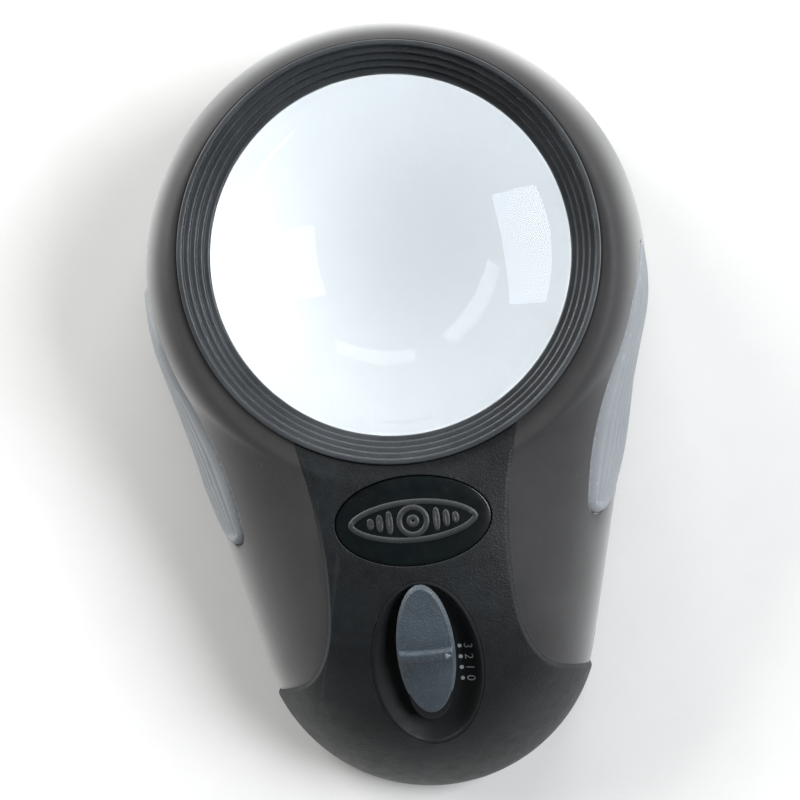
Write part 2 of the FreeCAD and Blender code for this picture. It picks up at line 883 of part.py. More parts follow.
def make_power():
    wall = "holder_wall"
    shell = box(
        "holder_shell",
        ("-holder_half_width", "cell_y - holder_half_length", "holder_z"),
        ("holder_half_width", "cell_y + holder_half_length", "holder_top_z"),
    )
    bay = box(
        "holder_bay",
        (f"-holder_half_width + {wall}", f"cell_y - holder_half_length + {wall}", 0),
        (f"holder_half_width - {wall}", f"cell_y + holder_half_length - {wall}", "holder_top_z - 1"),
    )
    ears = []
    for i, (side, end) in enumerate(((1, 1), (1, -1), (-1, 1), (-1, -1))):
        x, y = f"{side} * ear_x", f"cell_y + {end} * ear_y"
        ears.append(
            box(
                f"holder_ear_{i}",
                (f"{x} - ear_half", f"{y} - ear_half", "floor_z"),
                (f"{x} + ear_half", f"{y} + ear_half", "ear_top_z"),
            )
        )
    node(cut("holder_walls", join("Fuse", "holder_eared", shell, *ears), bay), "battery_holder")

    for i in range(CELL_COUNT):
        turned = -1 if i == 1 else 1
        y = f"cell_y + {1 - i} * cell_pitch"
        can = doc.addObject("Part::Cylinder", f"cell_can_{i}")
        nub = doc.addObject("Part::Cylinder", f"cell_nub_{i}")
        bind(can, Radius="cell_radius", Height="cell_length")
        bind(nub, Radius="cell_nub_radius", Height="cell_nub")
        for rod, start in ((can, "-(cell_length + cell_nub) / 2"), (nub, "(cell_length - cell_nub) / 2")):
            rod.Placement.Rotation = Rotation(Vector(0, 1, 0), 90 * turned)
            put(rod, f"{turned} * ({start})", y, "cell_z")
        node(join("Fuse", f"battery_{i + 1}", can, nub), f"battery_{i + 1}")

    tip = "(cell_length + cell_nub) / 2"
    wall_x = "holder_half_width - holder_wall"
    plus, minus = [], []
    for i in range(CELL_COUNT):
        turned = -1 if i == 1 else 1
        y = f"cell_y + {1 - i} * cell_pitch"
        for side, leaves, name in ((turned, plus, "plus"), (-turned, minus, "minus")):
            leaf = padded(
                f"{name}_leaf_{i}",
                "XY_Plane",
                [
                    (f"{side} * ({wall_x})", f"{y} - contact_root"),
                    (f"{side} * ({wall_x})", f"{y} + contact_root"),
                    (f"{side} * ({wall_x} - leaf_sheet)", f"{y} + contact_root"),
                    (f"{side} * ({tip})", f"{y} + contact_tip"),
                    (f"{side} * ({tip})", f"{y} - contact_tip"),
                    (f"{side} * ({wall_x} - leaf_sheet)", f"{y} - contact_root"),
                ],
                "2 * contact_half_height",
                "cell_z - contact_half_height",
            )
            leaves.append(leaf)
    node(group("positive_contacts", plus), "positive_contacts")
    node(group("negative_contacts", minus), "negative_contacts")


def make_wires():
    """Two pairs of thin wires: holder to switch board, and switch board to the ring of lights."""
    for label, side, line in (("battery_wires", 1, BATTERY_WIRE), ("led_wires", -1, LIGHT_WIRE)):
        pair = []
        for i, x in enumerate(WIRE_X):
            points = [Vector(side * x, y, z) for y, z in line]
            pair.append(wire(f"{label}_{i}", points, number("wire_radius")))
        node(group(label, pair), label)


def wire(name, points, radius):
    """A round wire along straight runs with one tangent arc at each corner."""
    edges = []
    last = points[0]
    for before, corner, after in zip(points, points[1:], points[2:]):
        into = (corner - before).normalize()
        out = (after - corner).normalize()
        turn = into.getAngle(out)
        reach = 0.45 * min((corner - before).Length, (after - corner).Length)
        start, end = corner - into * reach, corner + out * reach
        bend = reach / math.tan(turn / 2)
        middle = corner + (out - into).normalize() * (bend / math.cos(turn / 2) - bend)
        edges.append(Part.LineSegment(last, start).toShape())
        edges.append(Part.Arc(start, middle, end).toShape())
        last = end
    edges.append(Part.LineSegment(last, points[-1]).toShape())
    path = Part.Wire(edges)
    ring = Part.Wire(Part.Circle(points[0], points[1] - points[0], radius).toShape())
    feature = doc.addObject("Part::Feature", name)
    feature.Shape = path.makePipeShell([ring], True, False)
    return feature


def make_fixings():
    screws = []
    for i, (x, y) in enumerate(both_sides(BOSS_PLACES)):
        head = cylinder(f"screw_head_{i}", "screw_head_radius", "base_z + 0.1", "base_z + screw_head", x, y)
        shank = cylinder(f"screw_shank_{i}", "screw_shank", "base_z + 0.2", "base_z + screw_length", x, y)
        socket = cylinder(f"screw_socket_{i}", "socket_radius", "base_z", "base_z + 0.7", x, y)
        screws.append(cut(f"screw_{i}", join("Fuse", f"screw_blank_{i}", head, shank), socket))
    node(group("housing_screws", screws), "housing_screws")
    pads = [
        cylinder(f"glide_pad_{i}", "pad_radius", 0, "base_z + pad_seat", x, y)
        for i, (x, y) in enumerate(both_sides(PAD_PLACES))
    ]
    node(group("glide_pads", pads), "glide_pads")


def write_parts():
    doc.recompute()
    for thing in doc.Objects:
        if {"Invalid", "Error"} & set(thing.State):
            raise RuntimeError(f"{thing.Label} failed: {thing.State}")
    os.makedirs("parts", exist_ok=True)
    for thing in nodes:
        shape = thing.Shape
        if shape.isNull() or not shape.isValid() or not shape.Solids:
            raise RuntimeError(f"{thing.Label} has no valid solid")
        shape.exportStep(f"parts/{thing.Label}.step")


make_shells()
make_optics()
make_badge()
make_switch()
make_power()
make_wires()
make_fixings()
write_parts()
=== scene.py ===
"""Lighted stand magnifier for low vision: the visible surfaces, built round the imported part.

Shapes are worked out in millimetres in the part's own frame and scaled to metres when a mesh is made.
"""

import math

import bmesh
import bpy
import numpy as np
from mathutils import Matrix, Vector


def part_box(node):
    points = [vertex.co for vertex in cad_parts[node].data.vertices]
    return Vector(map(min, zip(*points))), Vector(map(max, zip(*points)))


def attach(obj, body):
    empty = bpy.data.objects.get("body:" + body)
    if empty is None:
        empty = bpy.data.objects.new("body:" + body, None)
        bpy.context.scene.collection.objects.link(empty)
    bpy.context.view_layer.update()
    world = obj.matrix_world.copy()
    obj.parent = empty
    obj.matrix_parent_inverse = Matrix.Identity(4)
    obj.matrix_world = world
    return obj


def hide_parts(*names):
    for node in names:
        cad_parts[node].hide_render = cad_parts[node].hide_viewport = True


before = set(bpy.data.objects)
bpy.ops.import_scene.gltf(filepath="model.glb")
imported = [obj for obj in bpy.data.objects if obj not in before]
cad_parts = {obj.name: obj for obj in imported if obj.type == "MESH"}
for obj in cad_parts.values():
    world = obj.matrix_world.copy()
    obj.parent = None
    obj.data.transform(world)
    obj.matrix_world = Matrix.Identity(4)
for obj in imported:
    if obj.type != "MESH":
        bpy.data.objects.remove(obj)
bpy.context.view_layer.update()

MM = 0.001


def extent(node):
    """Lowest and highest corner of a CAD node, in millimetres."""
    low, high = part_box(node)
    return np.array(low) / MM, np.array(high) / MM


# ---------------------------------------------------------------- sizes, from the frame
shell_low, shell_high = extent("bottom_housing")
lens_low, lens_high = extent("lens")
bezel_high = extent("lens_bezel")[1]
badge_low, badge_high = extent("badge_plate")

HEAD_RADIUS = shell_high[0]
HEAD_Y = shell_high[1] - HEAD_RADIUS
TAIL_RADIUS = 33.7
TAIL_Y = shell_low[1] + TAIL_RADIUS
BASE_Z = shell_low[2]
PARTING_Z = shell_high[2]
CROWN_Z = bezel_high[2] - 1.0
SHOULDER = 9.0
LENS_Y = (lens_low[1] + lens_high[1]) / 2
BEZEL_RADIUS = bezel_high[0]
BORE = BEZEL_RADIUS - 0.5
SPINE = {"head": -0.5, "side": 0.0, "fall": 20.0, "run": 44.0}
FLANK = {"head": 0.0, "side": 0.7, "fall": 24.0, "run": 40.0}
CAVITY = {"head": 2.4, "side": 3.1, "fall": 24.0, "run": 40.0}
CAVITY_TOP = 29.5
FLOOR_Z = 3.2
TOP_LEVEL = math.radians(79)
TOP_LEVEL_Z = BASE_Z + (CROWN_Z - BASE_Z) * math.sin(TOP_LEVEL)

# the plan edge between the proud spine and the flanks, from the bezel to the tail
SPINE_EDGE = [
    (20.5, -3.0), (18.3, -13.0), (17.0, -25.0), (17.1, -36.0),
    (19.3, -46.0), (23.5, -51.2), (28.0, -52.9), (31.9, -54.4),
]
SPINE_RUN_OUT = (60.0, -64.0)
STEP_WIDTH = 0.7

WINDOW_RADIUS = 39.2
SWITCH_ORIGIN = np.array([0.0, -48.3, 31.5])
SWITCH_TILT = math.radians(23)
SLOPE = np.array([0.0, math.cos(SWITCH_TILT), math.sin(SWITCH_TILT)])
STANDOFF = np.array([0.0, -math.sin(SWITCH_TILT), math.cos(SWITCH_TILT)])
DISH_CENTRE = -0.9
DISH_HALF_LENGTH = 17.5
DISH_HALF_WIDTH = 10.5
DISH_FLOOR = -3.5
DISH_WALL = 3.7
BADGE_CENTRE = (badge_low[1] + badge_high[1]) / 2
BADGE_HALF_WIDTH = badge_high[0] + 0.1
BADGE_HALF_HEIGHT = (badge_high[1] - badge_low[1]) / 2 + 0.1
BADGE_SINK = 0.32


# ---------------------------------------------------------------- mesh helpers
def smoothstep(low, high, value):
    t = np.clip((value - low) / (high - low), 0, 1)
    return t * t * (3 - 2 * t)


def grid_faces(rows, columns, around=True, closed=False):
    """Quads of a grid; around joins the last column to the first, closed the last row to the first."""
    i, j = np.meshgrid(
        np.arange(rows if closed else rows - 1),
        np.arange(columns if around else columns - 1),
        indexing="ij",
    )
    below, beside = (i + 1) % rows, (j + 1) % columns
    quads = np.stack(
        [i * columns + j, i * columns + beside, below * columns + beside, below * columns + j], -1
    )
    return quads.reshape(-1, 4).tolist()


def placed(name, data):
    """A new object of the scene that holds the data."""
    thing = bpy.data.objects.new(name, data)
    bpy.context.scene.collection.objects.link(thing)
    return thing


def mesh_object(name, points, faces, materials=(), face_materials=None):
    mesh = bpy.data.meshes.new(name)
    mesh.from_pydata((np.asarray(points, float).reshape(-1, 3) * MM).tolist(), [], faces)
    for material in materials:
        mesh.materials.append(material)
    if face_materials is not None:
        mesh.polygons.foreach_set("material_index", np.asarray(face_materials, np.int32))
    build = bmesh.new()
    build.from_mesh(mesh)
    bmesh.ops.recalc_face_normals(build, faces=build.faces)
    build.to_mesh(mesh)
    build.free()
    return placed(name, mesh)


def grid_object(name, grid, materials=(), closed=False, caps=True, column_materials=None):
    """A closed solid from rows of points that run all the way round, with a fan at each open end."""
    rows, columns = grid.shape[:2]
    faces = grid_faces(rows, columns, closed=closed)
    points = grid.reshape(-1, 3)
    face_materials = None
    if column_materials is not None:
        face_materials = list(column_materials) * (rows if closed else rows - 1)
    if caps and not closed:
        for row in (0, rows - 1):
            centre = len(points)
            points = np.vstack([points, grid[row].mean(axis=0)])
            first = row * columns
            faces += [[first + j, first + (j + 1) % columns, centre] for j in range(columns)]
        if face_materials is not None:
            face_materials += [0] * (2 * columns)
    return mesh_object(name, points, faces, materials, face_materials)


def swept_rows(profile, centre, segments):
    """Rows of points from an outline of (radius, height), turned about an upright axis at the centre."""
    turn = np.linspace(0, 2 * math.pi, segments, endpoint=False)
    profile = np.asarray(profile, float)
    grid = np.empty((len(profile), segments, 3))
    grid[..., 0] = centre[0] + profile[:, :1] * np.cos(turn)
    grid[..., 1] = centre[1] + profile[:, :1] * np.sin(turn)
    grid[..., 2] = profile[:, 1:]
    return grid


def revolve(name, profile, materials, segments=256):
    """A ring about the lens axis, turned from a closed outline."""
    return grid_object(name, swept_rows(profile, (0.0, LENS_Y), segments), materials, closed=True)


def turned(name, profile, materials, centre=(0.0, 0.0), segments=96):
    """A solid turned from an open outline whose ends lie on or near the axis."""
    return grid_object(name, swept_rows(profile, centre, segments), materials)


def rounded(corners, radii, steps=4, closed=True):
    """An outline of (a, b) corners with each corner replaced by a small arc-like curve."""
    corners = np.asarray(corners, float)
    radii = np.broadcast_to(radii, len(corners))
    count = len(corners)
    out = []
    for i, corner in enumerate(corners):
        if not closed and i in (0, count - 1):
            out.append(corner)
            continue
        before, after = corners[i - 1] - corner, corners[(i + 1) % count] - corner
        reach = min(radii[i], 0.45 * np.linalg.norm(before), 0.45 * np.linalg.norm(after))
        start = corner + before / np.linalg.norm(before) * reach
        end = corner + after / np.linalg.norm(after) * reach
        for t in np.linspace(0, 1, steps):
            out.append((1 - t) ** 2 * start + 2 * t * (1 - t) * corner + t * t * end)
    return np.array(out)


def join_objects(name, things):
    """One object from several, keeping each one's materials."""
    build = bmesh.new()
    materials = []
    for thing in things:
        start = len(build.faces)
        build.from_mesh(thing.data)
        build.faces.ensure_lookup_table()
        places = []
        for material in thing.data.materials:
            if material not in materials:
                materials.append(material)
            places.append(materials.index(material))
        for face in build.faces[start:]:
            face.material_index = places[face.material_index] if places else 0
        bpy.data.objects.remove(thing)
    mesh = bpy.data.meshes.new(name)
    build.to_mesh(mesh)
    build.free()
    for material in materials:
        mesh.materials.append(material)
    return placed(name, mesh)


def carve(thing, tool):
    """Cuts thing with tool, and removes the tool."""
    change = thing.modifiers.new("change", "BOOLEAN")
    change.operation = "DIFFERENCE"
    change.solver = "MANIFOLD"
    change.object = tool
    evaluated = thing.evaluated_get(bpy.context.evaluated_depsgraph_get())
    mesh = bpy.data.meshes.new_from_object(evaluated)
    thing.modifiers.clear()
    thing.data = mesh
    bpy.data.objects.remove(tool)


def rounded_box(name, low, high, radius, materials=(), segments=3):
    build = bmesh.new()
    bmesh.ops.create_cube(build, size=1)
    low, high = np.asarray(low, float), np.asarray(high, float)
    for vertex in build.verts:
        vertex.co = Vector(((low + high) / 2 + np.array(vertex.co) * (high - low)) * MM)
    bmesh.ops.bevel(
        build, geom=build.edges[:], offset=radius * MM, segments=segments, profile=0.5, affect="EDGES"
    )
    mesh = bpy.data.meshes.new(name)
    build.to_mesh(mesh)
    build.free()
    for material in materials:
        mesh.materials.append(material)
    return placed(name, mesh)


def show(thing, body, slot, *nodes, sharp=35):
    """Smooth shading, and the body and CAD nodes of a finished piece; the slot argument is not used."""
    thing.data.shade_smooth()
    if sharp:
        thing.data.set_sharp_from_angle(angle=math.radians(sharp))
    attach(thing, body)
    if nodes:
        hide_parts(*nodes)
    return thing


# ---------------------------------------------------------------- shell form
def hull_at(form, level):
    """Head radius, tail radius and tail centre of a form at a level angle."""
    shrink = 1 - np.cos(level)
    head = HEAD_RADIUS - form["head"] - SHOULDER * shrink
    tail = TAIL_RADIUS - form["side"] - form["fall"] * shrink
    return head, tail, TAIL_Y + form["run"] * shrink


def level_of(z):
    return np.arcsin(np.clip((z - BASE_Z) / (CROWN_Z - BASE_Z), -1, 1))


def outside(x, y, hull):
    """Signed distance from a hull of two circles; positive outside."""
    head, tail, tail_y = hull
    across, down = np.abs(x), HEAD_Y - y
    span = HEAD_Y - tail_y
    lean = np.clip((head - tail) / span, -0.999, 0.999)
    side = np.sqrt(1 - lean * lean)
    along = -lean * across + side * down
    near_head = np.hypot(across, down) - head
    near_tail = np.hypot(across, down - span) - tail
    between = side * across + lean * down - head
    return np.where(along < 0, near_head, np.where(along > side * span, near_tail, between))


def top_height(form, x, y):
    """Height of a form's outer surface over plan points."""
    low = np.zeros(np.shape(x))
    high = np.full(np.shape(x), math.pi / 2)
    for _ in range(26):
        middle = (low + high) / 2
        inside = outside(x, y, hull_at(form, middle)) < 0
        low = np.where(inside, middle, low)
        high = np.where(inside, high, middle)
    return BASE_Z + (CROWN_Z - BASE_Z) * np.sin((low + high) / 2)


def hull_spans(hull):
    head, tail, tail_y = hull
    span = HEAD_Y - tail_y
    lean = math.asin(min((head - tail) / span, 0.999))
    head_arc = head * (math.pi / 2 + lean)
    side_end = head_arc + span * math.cos(lean)
    return lean, head_arc, side_end, side_end + tail * (math.pi / 2 - lean)


def hull_points(hull, arc):
    """Points at distances along a hull's right half, from nose to tail."""
    head, tail, tail_y = hull
    lean, head_arc, side_end, _ = hull_spans(hull)
    turn = math.pi / 2 - arc / head
    share = (arc - head_arc) / (side_end - head_arc)
    last = -lean - (arc - side_end) / tail
    start = head * math.cos(lean), HEAD_Y - head * math.sin(lean)
    end = tail * math.cos(lean), tail_y - tail * math.sin(lean)
    x = np.where(arc < head_arc, head * np.cos(turn), start[0] + (end[0] - start[0]) * share)
    y = np.where(arc < head_arc, HEAD_Y + head * np.sin(turn), start[1] + (end[1] - start[1]) * share)
    x = np.where(arc > side_end, tail * np.cos(last), x)
    y = np.where(arc > side_end, tail_y + tail * np.sin(last), y)
    return np.stack([x, y], -1)


def hull_arc(hull, point):
    """Distance along a hull's right half of a point on it."""
    head, tail, tail_y = hull
    lean, head_arc, side_end, _ = hull_spans(hull)
    turn = math.atan2(point[1] - HEAD_Y, point[0])
    if turn > -lean:
        return head * (math.pi / 2 - turn)
    start = np.array([head * math.cos(lean), HEAD_Y - head * math.sin(lean)])
    along = (np.array(point) - start) @ np.array([-math.sin(lean), -math.cos(lean)])
    if along < side_end - head_arc:
        return head_arc + along
    return side_end + tail * (-lean - math.atan2(point[1] - tail_y, point[0]))


def side_of(form, y, z):
    """Half width of a form at points given by their y and height."""
    head, tail, tail_y = hull_at(form, level_of(z))
    span = HEAD_Y - tail_y
    lean = np.arcsin(np.clip((head - tail) / span, -0.999, 0.999))
    head_end = HEAD_Y - head * np.sin(lean)
    tail_end = tail_y - tail * np.sin(lean)
    on_head = np.sqrt(np.maximum(head**2 - (y - HEAD_Y) ** 2, 0))
    on_tail = np.sqrt(np.maximum(tail**2 - (y - tail_y) ** 2, 0))
    share = (head_end - y) / (head_end - tail_end)
    on_side = head * np.cos(lean) * (1 - share) + tail * np.cos(lean) * share
    return np.where(y > head_end, on_head, np.where(y < tail_end, on_tail, on_side))


def natural_spline(knots, count):
    """Points on a smooth curve through the knots, evenly spaced by chord."""
    knots = np.asarray(knots, float)
    at = np.concatenate([[0], np.cumsum(np.linalg.norm(np.diff(knots, axis=0), axis=1))])
    gap = np.diff(at)
    size = len(knots)
    system, right = np.eye(size), np.zeros((size, 2))
    for i in range(1, size - 1):
        system[i, i - 1 : i + 2] = gap[i - 1], 2 * (gap[i - 1] + gap[i]), gap[i]
        right[i] = 6 * ((knots[i + 1] - knots[i]) / gap[i] - (knots[i] - knots[i - 1]) / gap[i - 1])
    bend = np.linalg.solve(system, right)
    t = np.linspace(0, at[-1], count)
    k = np.clip(np.searchsorted(at, t, side="right") - 1, 0, size - 2)
    h = gap[k][:, None]
    a = (at[k + 1] - t)[:, None] / h
    b = (t - at[k])[:, None] / h
    sag = ((a**3 - a) * bend[k] + (b**3 - b) * bend[k + 1]) * h**2 / 6
    return a * knots[k] + b * knots[k + 1] + sag


def spine_edge_lines():
    """The middle of the spine's plan edge, and the outward direction at each of its points."""
    curve = natural_spline(SPINE_EDGE, 700)
    lead = curve[0] + (curve[0] - curve[1]) / np.linalg.norm(curve[0] - curve[1]) * 6
    start = np.linspace(lead, curve[0], 60, endpoint=False)
    tail = np.linspace(curve[-1], SPINE_RUN_OUT, 200)[1:]
    line = np.vstack([start, curve, tail])
    for _ in range(40):
        line[1:-1] = (line[:-2] + 2 * line[1:-1] + line[2:]) / 4
    along = np.gradient(line, axis=0)
    along /= np.linalg.norm(along, axis=1, keepdims=True)
    outward = np.stack([-along[:, 1], along[:, 0]], -1)
    return line, outward


EDGE_LINE, EDGE_OUTWARD = spine_edge_lines()
SIDE_COLUMNS = 150
STEP_COLUMNS = 14
TAIL_COLUMNS = 110
FINE_STEP = 0.16


def graded(length, columns):
    """Distances from a feature edge: fine close to it, wider far away."""
    u = np.linspace(0, 1, columns)
    fine = min(FINE_STEP * columns, 0.5 * length)
    return fine * u + (length - fine) * u**3


def at_index(line, index):
    whole = np.arange(len(line))
    return np.stack([np.interp(index, whole, line[:, 0]), np.interp(index, whole, line[:, 1])], -1)


def crossing(line, hull):
    """Index along a line where it leaves a hull."""
    distance = outside(line[:, 0], line[:, 1], hull)
    k = int(np.argmax(distance > 0))
    return k - 1 + distance[k - 1] / (distance[k - 1] - distance[k])


SOFT_ROUNDS = 8
SOFT_REACH = 8


def soften(values):
    """Rounds the two corners of the step where the side, step and tail columns meet."""
    values = values.copy()
    for corner in (SIDE_COLUMNS - 1, SIDE_COLUMNS + STEP_COLUMNS):
        low, high = corner - SOFT_REACH, corner + SOFT_REACH
        for _ in range(SOFT_ROUNDS):
            part = values[low - 1 : high + 2]
            values[low : high + 1] = (part[:-2] + 2 * part[1:-1] + part[2:]) / 4
    return values


def level_layout(level):
    """Where the flank outline ends, the step runs and the spine outline starts at a level."""
    flank, spine = hull_at(FLANK, level), hull_at(SPINE, level)
    leave = crossing(EDGE_LINE + EDGE_OUTWARD * STEP_WIDTH / 2, flank)
    meet = max(crossing(EDGE_LINE - EDGE_OUTWARD * STEP_WIDTH / 2, spine), leave + 0.05)
    flank_end = at_index(EDGE_LINE + EDGE_OUTWARD * STEP_WIDTH / 2, leave)
    spine_start = at_index(EDGE_LINE - EDGE_OUTWARD * STEP_WIDTH / 2, meet)
    side_length = hull_arc(flank, flank_end)
    tail_start = hull_arc(spine, spine_start)
    side_arcs = side_length - graded(side_length, SIDE_COLUMNS)[::-1]
    tail_arcs = tail_start + graded(hull_spans(spine)[3] - tail_start, TAIL_COLUMNS)
    return flank, spine, leave, meet, side_arcs, tail_arcs


STEP_SHARE = np.arange(1, STEP_COLUMNS + 1) / (STEP_COLUMNS + 1)


def half_level(level):
    """Right half of the casing's outline at a level: flank, step, spine."""
    flank, spine, leave, meet, side_arcs, tail_arcs = level_layout(level)
    index = leave + (meet - leave) * STEP_SHARE
    lateral = STEP_WIDTH / 2 * (1 - 2 * STEP_SHARE)
    step = at_index(EDGE_LINE, index) + at_index(EDGE_OUTWARD, index) * lateral[:, None]
    half = np.vstack([hull_points(flank, side_arcs), step, hull_points(spine, tail_arcs)])
    half = soften(half)
    half[0, 0] = half[-1, 0] = 0
    return half


def ring_angles(radius):
    """Angles about the lens axis that carry the columns on to a circle."""
    _, _, _, _, side_arcs, tail_arcs = level_layout(TOP_LEVEL)
    ends = []
    for side in (0.5, -0.5):
        line = EDGE_LINE + EDGE_OUTWARD * STEP_WIDTH * side
        k = int(np.argmax(np.hypot(line[:, 0], line[:, 1] - LENS_Y) > radius))
        ends.append(math.atan2(line[k, 1] - LENS_Y, line[k, 0]))
    nose, tail = math.pi / 2, -math.pi / 2
    side = nose + (ends[0] - nose) * side_arcs / side_arcs[-1]
    step = ends[0] + (ends[1] - ends[0]) * STEP_SHARE
    rest = ends[1] + (tail - ends[1]) * (tail_arcs - tail_arcs[0]) / (tail_arcs[-1] - tail_arcs[0])
    return np.concatenate([side, step, rest])


def half_circle(radius):
    turn = ring_angles(BEZEL_RADIUS + 0.3)
    half = np.stack([radius * np.cos(turn), LENS_Y + radius * np.sin(turn)], -1)
    half[0, 0] = half[-1, 0] = 0
    return half


def both_halves(half, z):
    """A full row from its right half and a height or heights."""
    row = np.column_stack([half, np.broadcast_to(z, len(half))])
    mirrored = row[-2:0:-1] * (-1, 1, 1)
    return np.vstack([row, mirrored])


def inset(half, distance):
    """A right-half outline moved inward in plan."""
    along = np.gradient(half, axis=0)
    along[0], along[-1] = (1, 0), (-1, 0)
    along /= np.linalg.norm(along, axis=1, keepdims=True)
    inward = np.stack([along[:, 1], -along[:, 0]], -1)
    moved = half + inward * distance
    moved[0, 0] = moved[-1, 0] = 0
    return moved


def cap_row(share, radius):
    """A row of the crown, part of the way from the top level's outline to the bezel."""
    half = (1 - share) * half_level(TOP_LEVEL) + share * half_circle(radius)
    flank = top_height(FLANK, half[:, 0], half[:, 1])
    spine = top_height(SPINE, half[:, 0], half[:, 1])
    step = smoothstep(0, 1, STEP_SHARE)
    blend = np.concatenate([np.zeros(SIDE_COLUMNS), step, np.ones(TAIL_COLUMNS)])
    return half, soften(flank * (1 - blend) + spine * blend)


def cavity_row(z, shares):
    """A row of the inner wall, with its columns at given shares of the half outline."""
    level = math.asin((z - FLOOR_Z) / (CROWN_Z - 3.6 - FLOOR_Z))
    hull = hull_at(CAVITY, level)
    half = hull_points(hull, shares * hull_spans(hull)[3])
    half[0, 0] = half[-1, 0] = 0
    return both_halves(half, z)


def length_shares(half):
    run = np.concatenate([[0], np.cumsum(np.linalg.norm(np.diff(half, axis=0), axis=1))])
    return run / run[-1]


def column_slots():
    """0 for the soft-touch flanks, 1 for the grained spine and step."""
    half = [0] * (SIDE_COLUMNS - 1) + [1] * (STEP_COLUMNS + TAIL_COLUMNS)
    return half + half[::-1]


def parting_lip(away):
    """Inset of the tiny groove along the parting line at a height away from it."""
    return 0.22 * (1 - min(away / 0.3, 1)) ** 1.5


def top_grid():
    rows = []
    start = level_of(PARTING_Z)
    for lift in (0.0, 0.08, 0.18):
        level = level_of(PARTING_Z + lift)
        rows.append(both_halves(inset(half_level(level), parting_lip(lift)), PARTING_Z + lift))
    for level in np.linspace(level_of(PARTING_Z + 0.35), TOP_LEVEL, 74):
        rows.append(both_halves(half_level(level), BASE_Z + (CROWN_Z - BASE_Z) * math.sin(level)))
    rim = BEZEL_RADIUS + 0.35
    for share in np.linspace(0, 1, 11)[1:]:
        half, z = cap_row(share, rim)
        rows.append(both_halves(half, z))
    _, crown = cap_row(1.0, rim)
    for radius, drop in ((rim - 0.13, 0.04), (rim - 0.24, 0.14), (rim - 0.3, 0.3)):
        rows.append(both_halves(half_circle(radius), crown - drop))
    seat_z = TOP_LEVEL_Z - 0.12
    for radius, z in ((rim - 0.3, seat_z), (BORE, seat_z), (BORE, CAVITY_TOP)):
        rows.append(both_halves(half_circle(radius), z))
    shares = length_shares(half_level(start))
    for z in np.linspace(CAVITY_TOP, PARTING_Z, 16):
        rows.append(cavity_row(z, shares))
    return np.array(rows)


def bottom_grid():
    rows = []
    edge = 0.7
    for turn in np.linspace(0, math.pi / 2, 6):
        z = BASE_Z + edge * (1 - math.cos(turn))
        rows.append(both_halves(inset(half_level(0.0), edge * (1 - math.sin(turn))), z))
    for z in (2.4, 3.2, 4.0, 4.6):
        rows.append(both_halves(half_level(level_of(z)), z))
    for lift in (0.18, 0.08, 0.0):
        z = PARTING_Z - lift
        rows.append(both_halves(inset(half_level(level_of(z)), parting_lip(lift)), z))
    shares = length_shares(half_level(0.0))
    for z in (PARTING_Z, 4.2, FLOOR_Z + 0.01):
        rows.append(cavity_row(z, shares))
    for out, z in ((0, FLOOR_Z), (0, BASE_Z + 0.4), (0.12, BASE_Z + 0.12), (0.4, BASE_Z)):
        rows.append(both_halves(half_circle(WINDOW_RADIUS + out), z))
    for share in (0.3, 0.6, 0.85):
        half = (1 - share) * half_circle(WINDOW_RADIUS + 0.4) + share * inset(half_level(0.0), edge)
        rows.append(both_halves(half, BASE_Z))
    return np.array(rows)


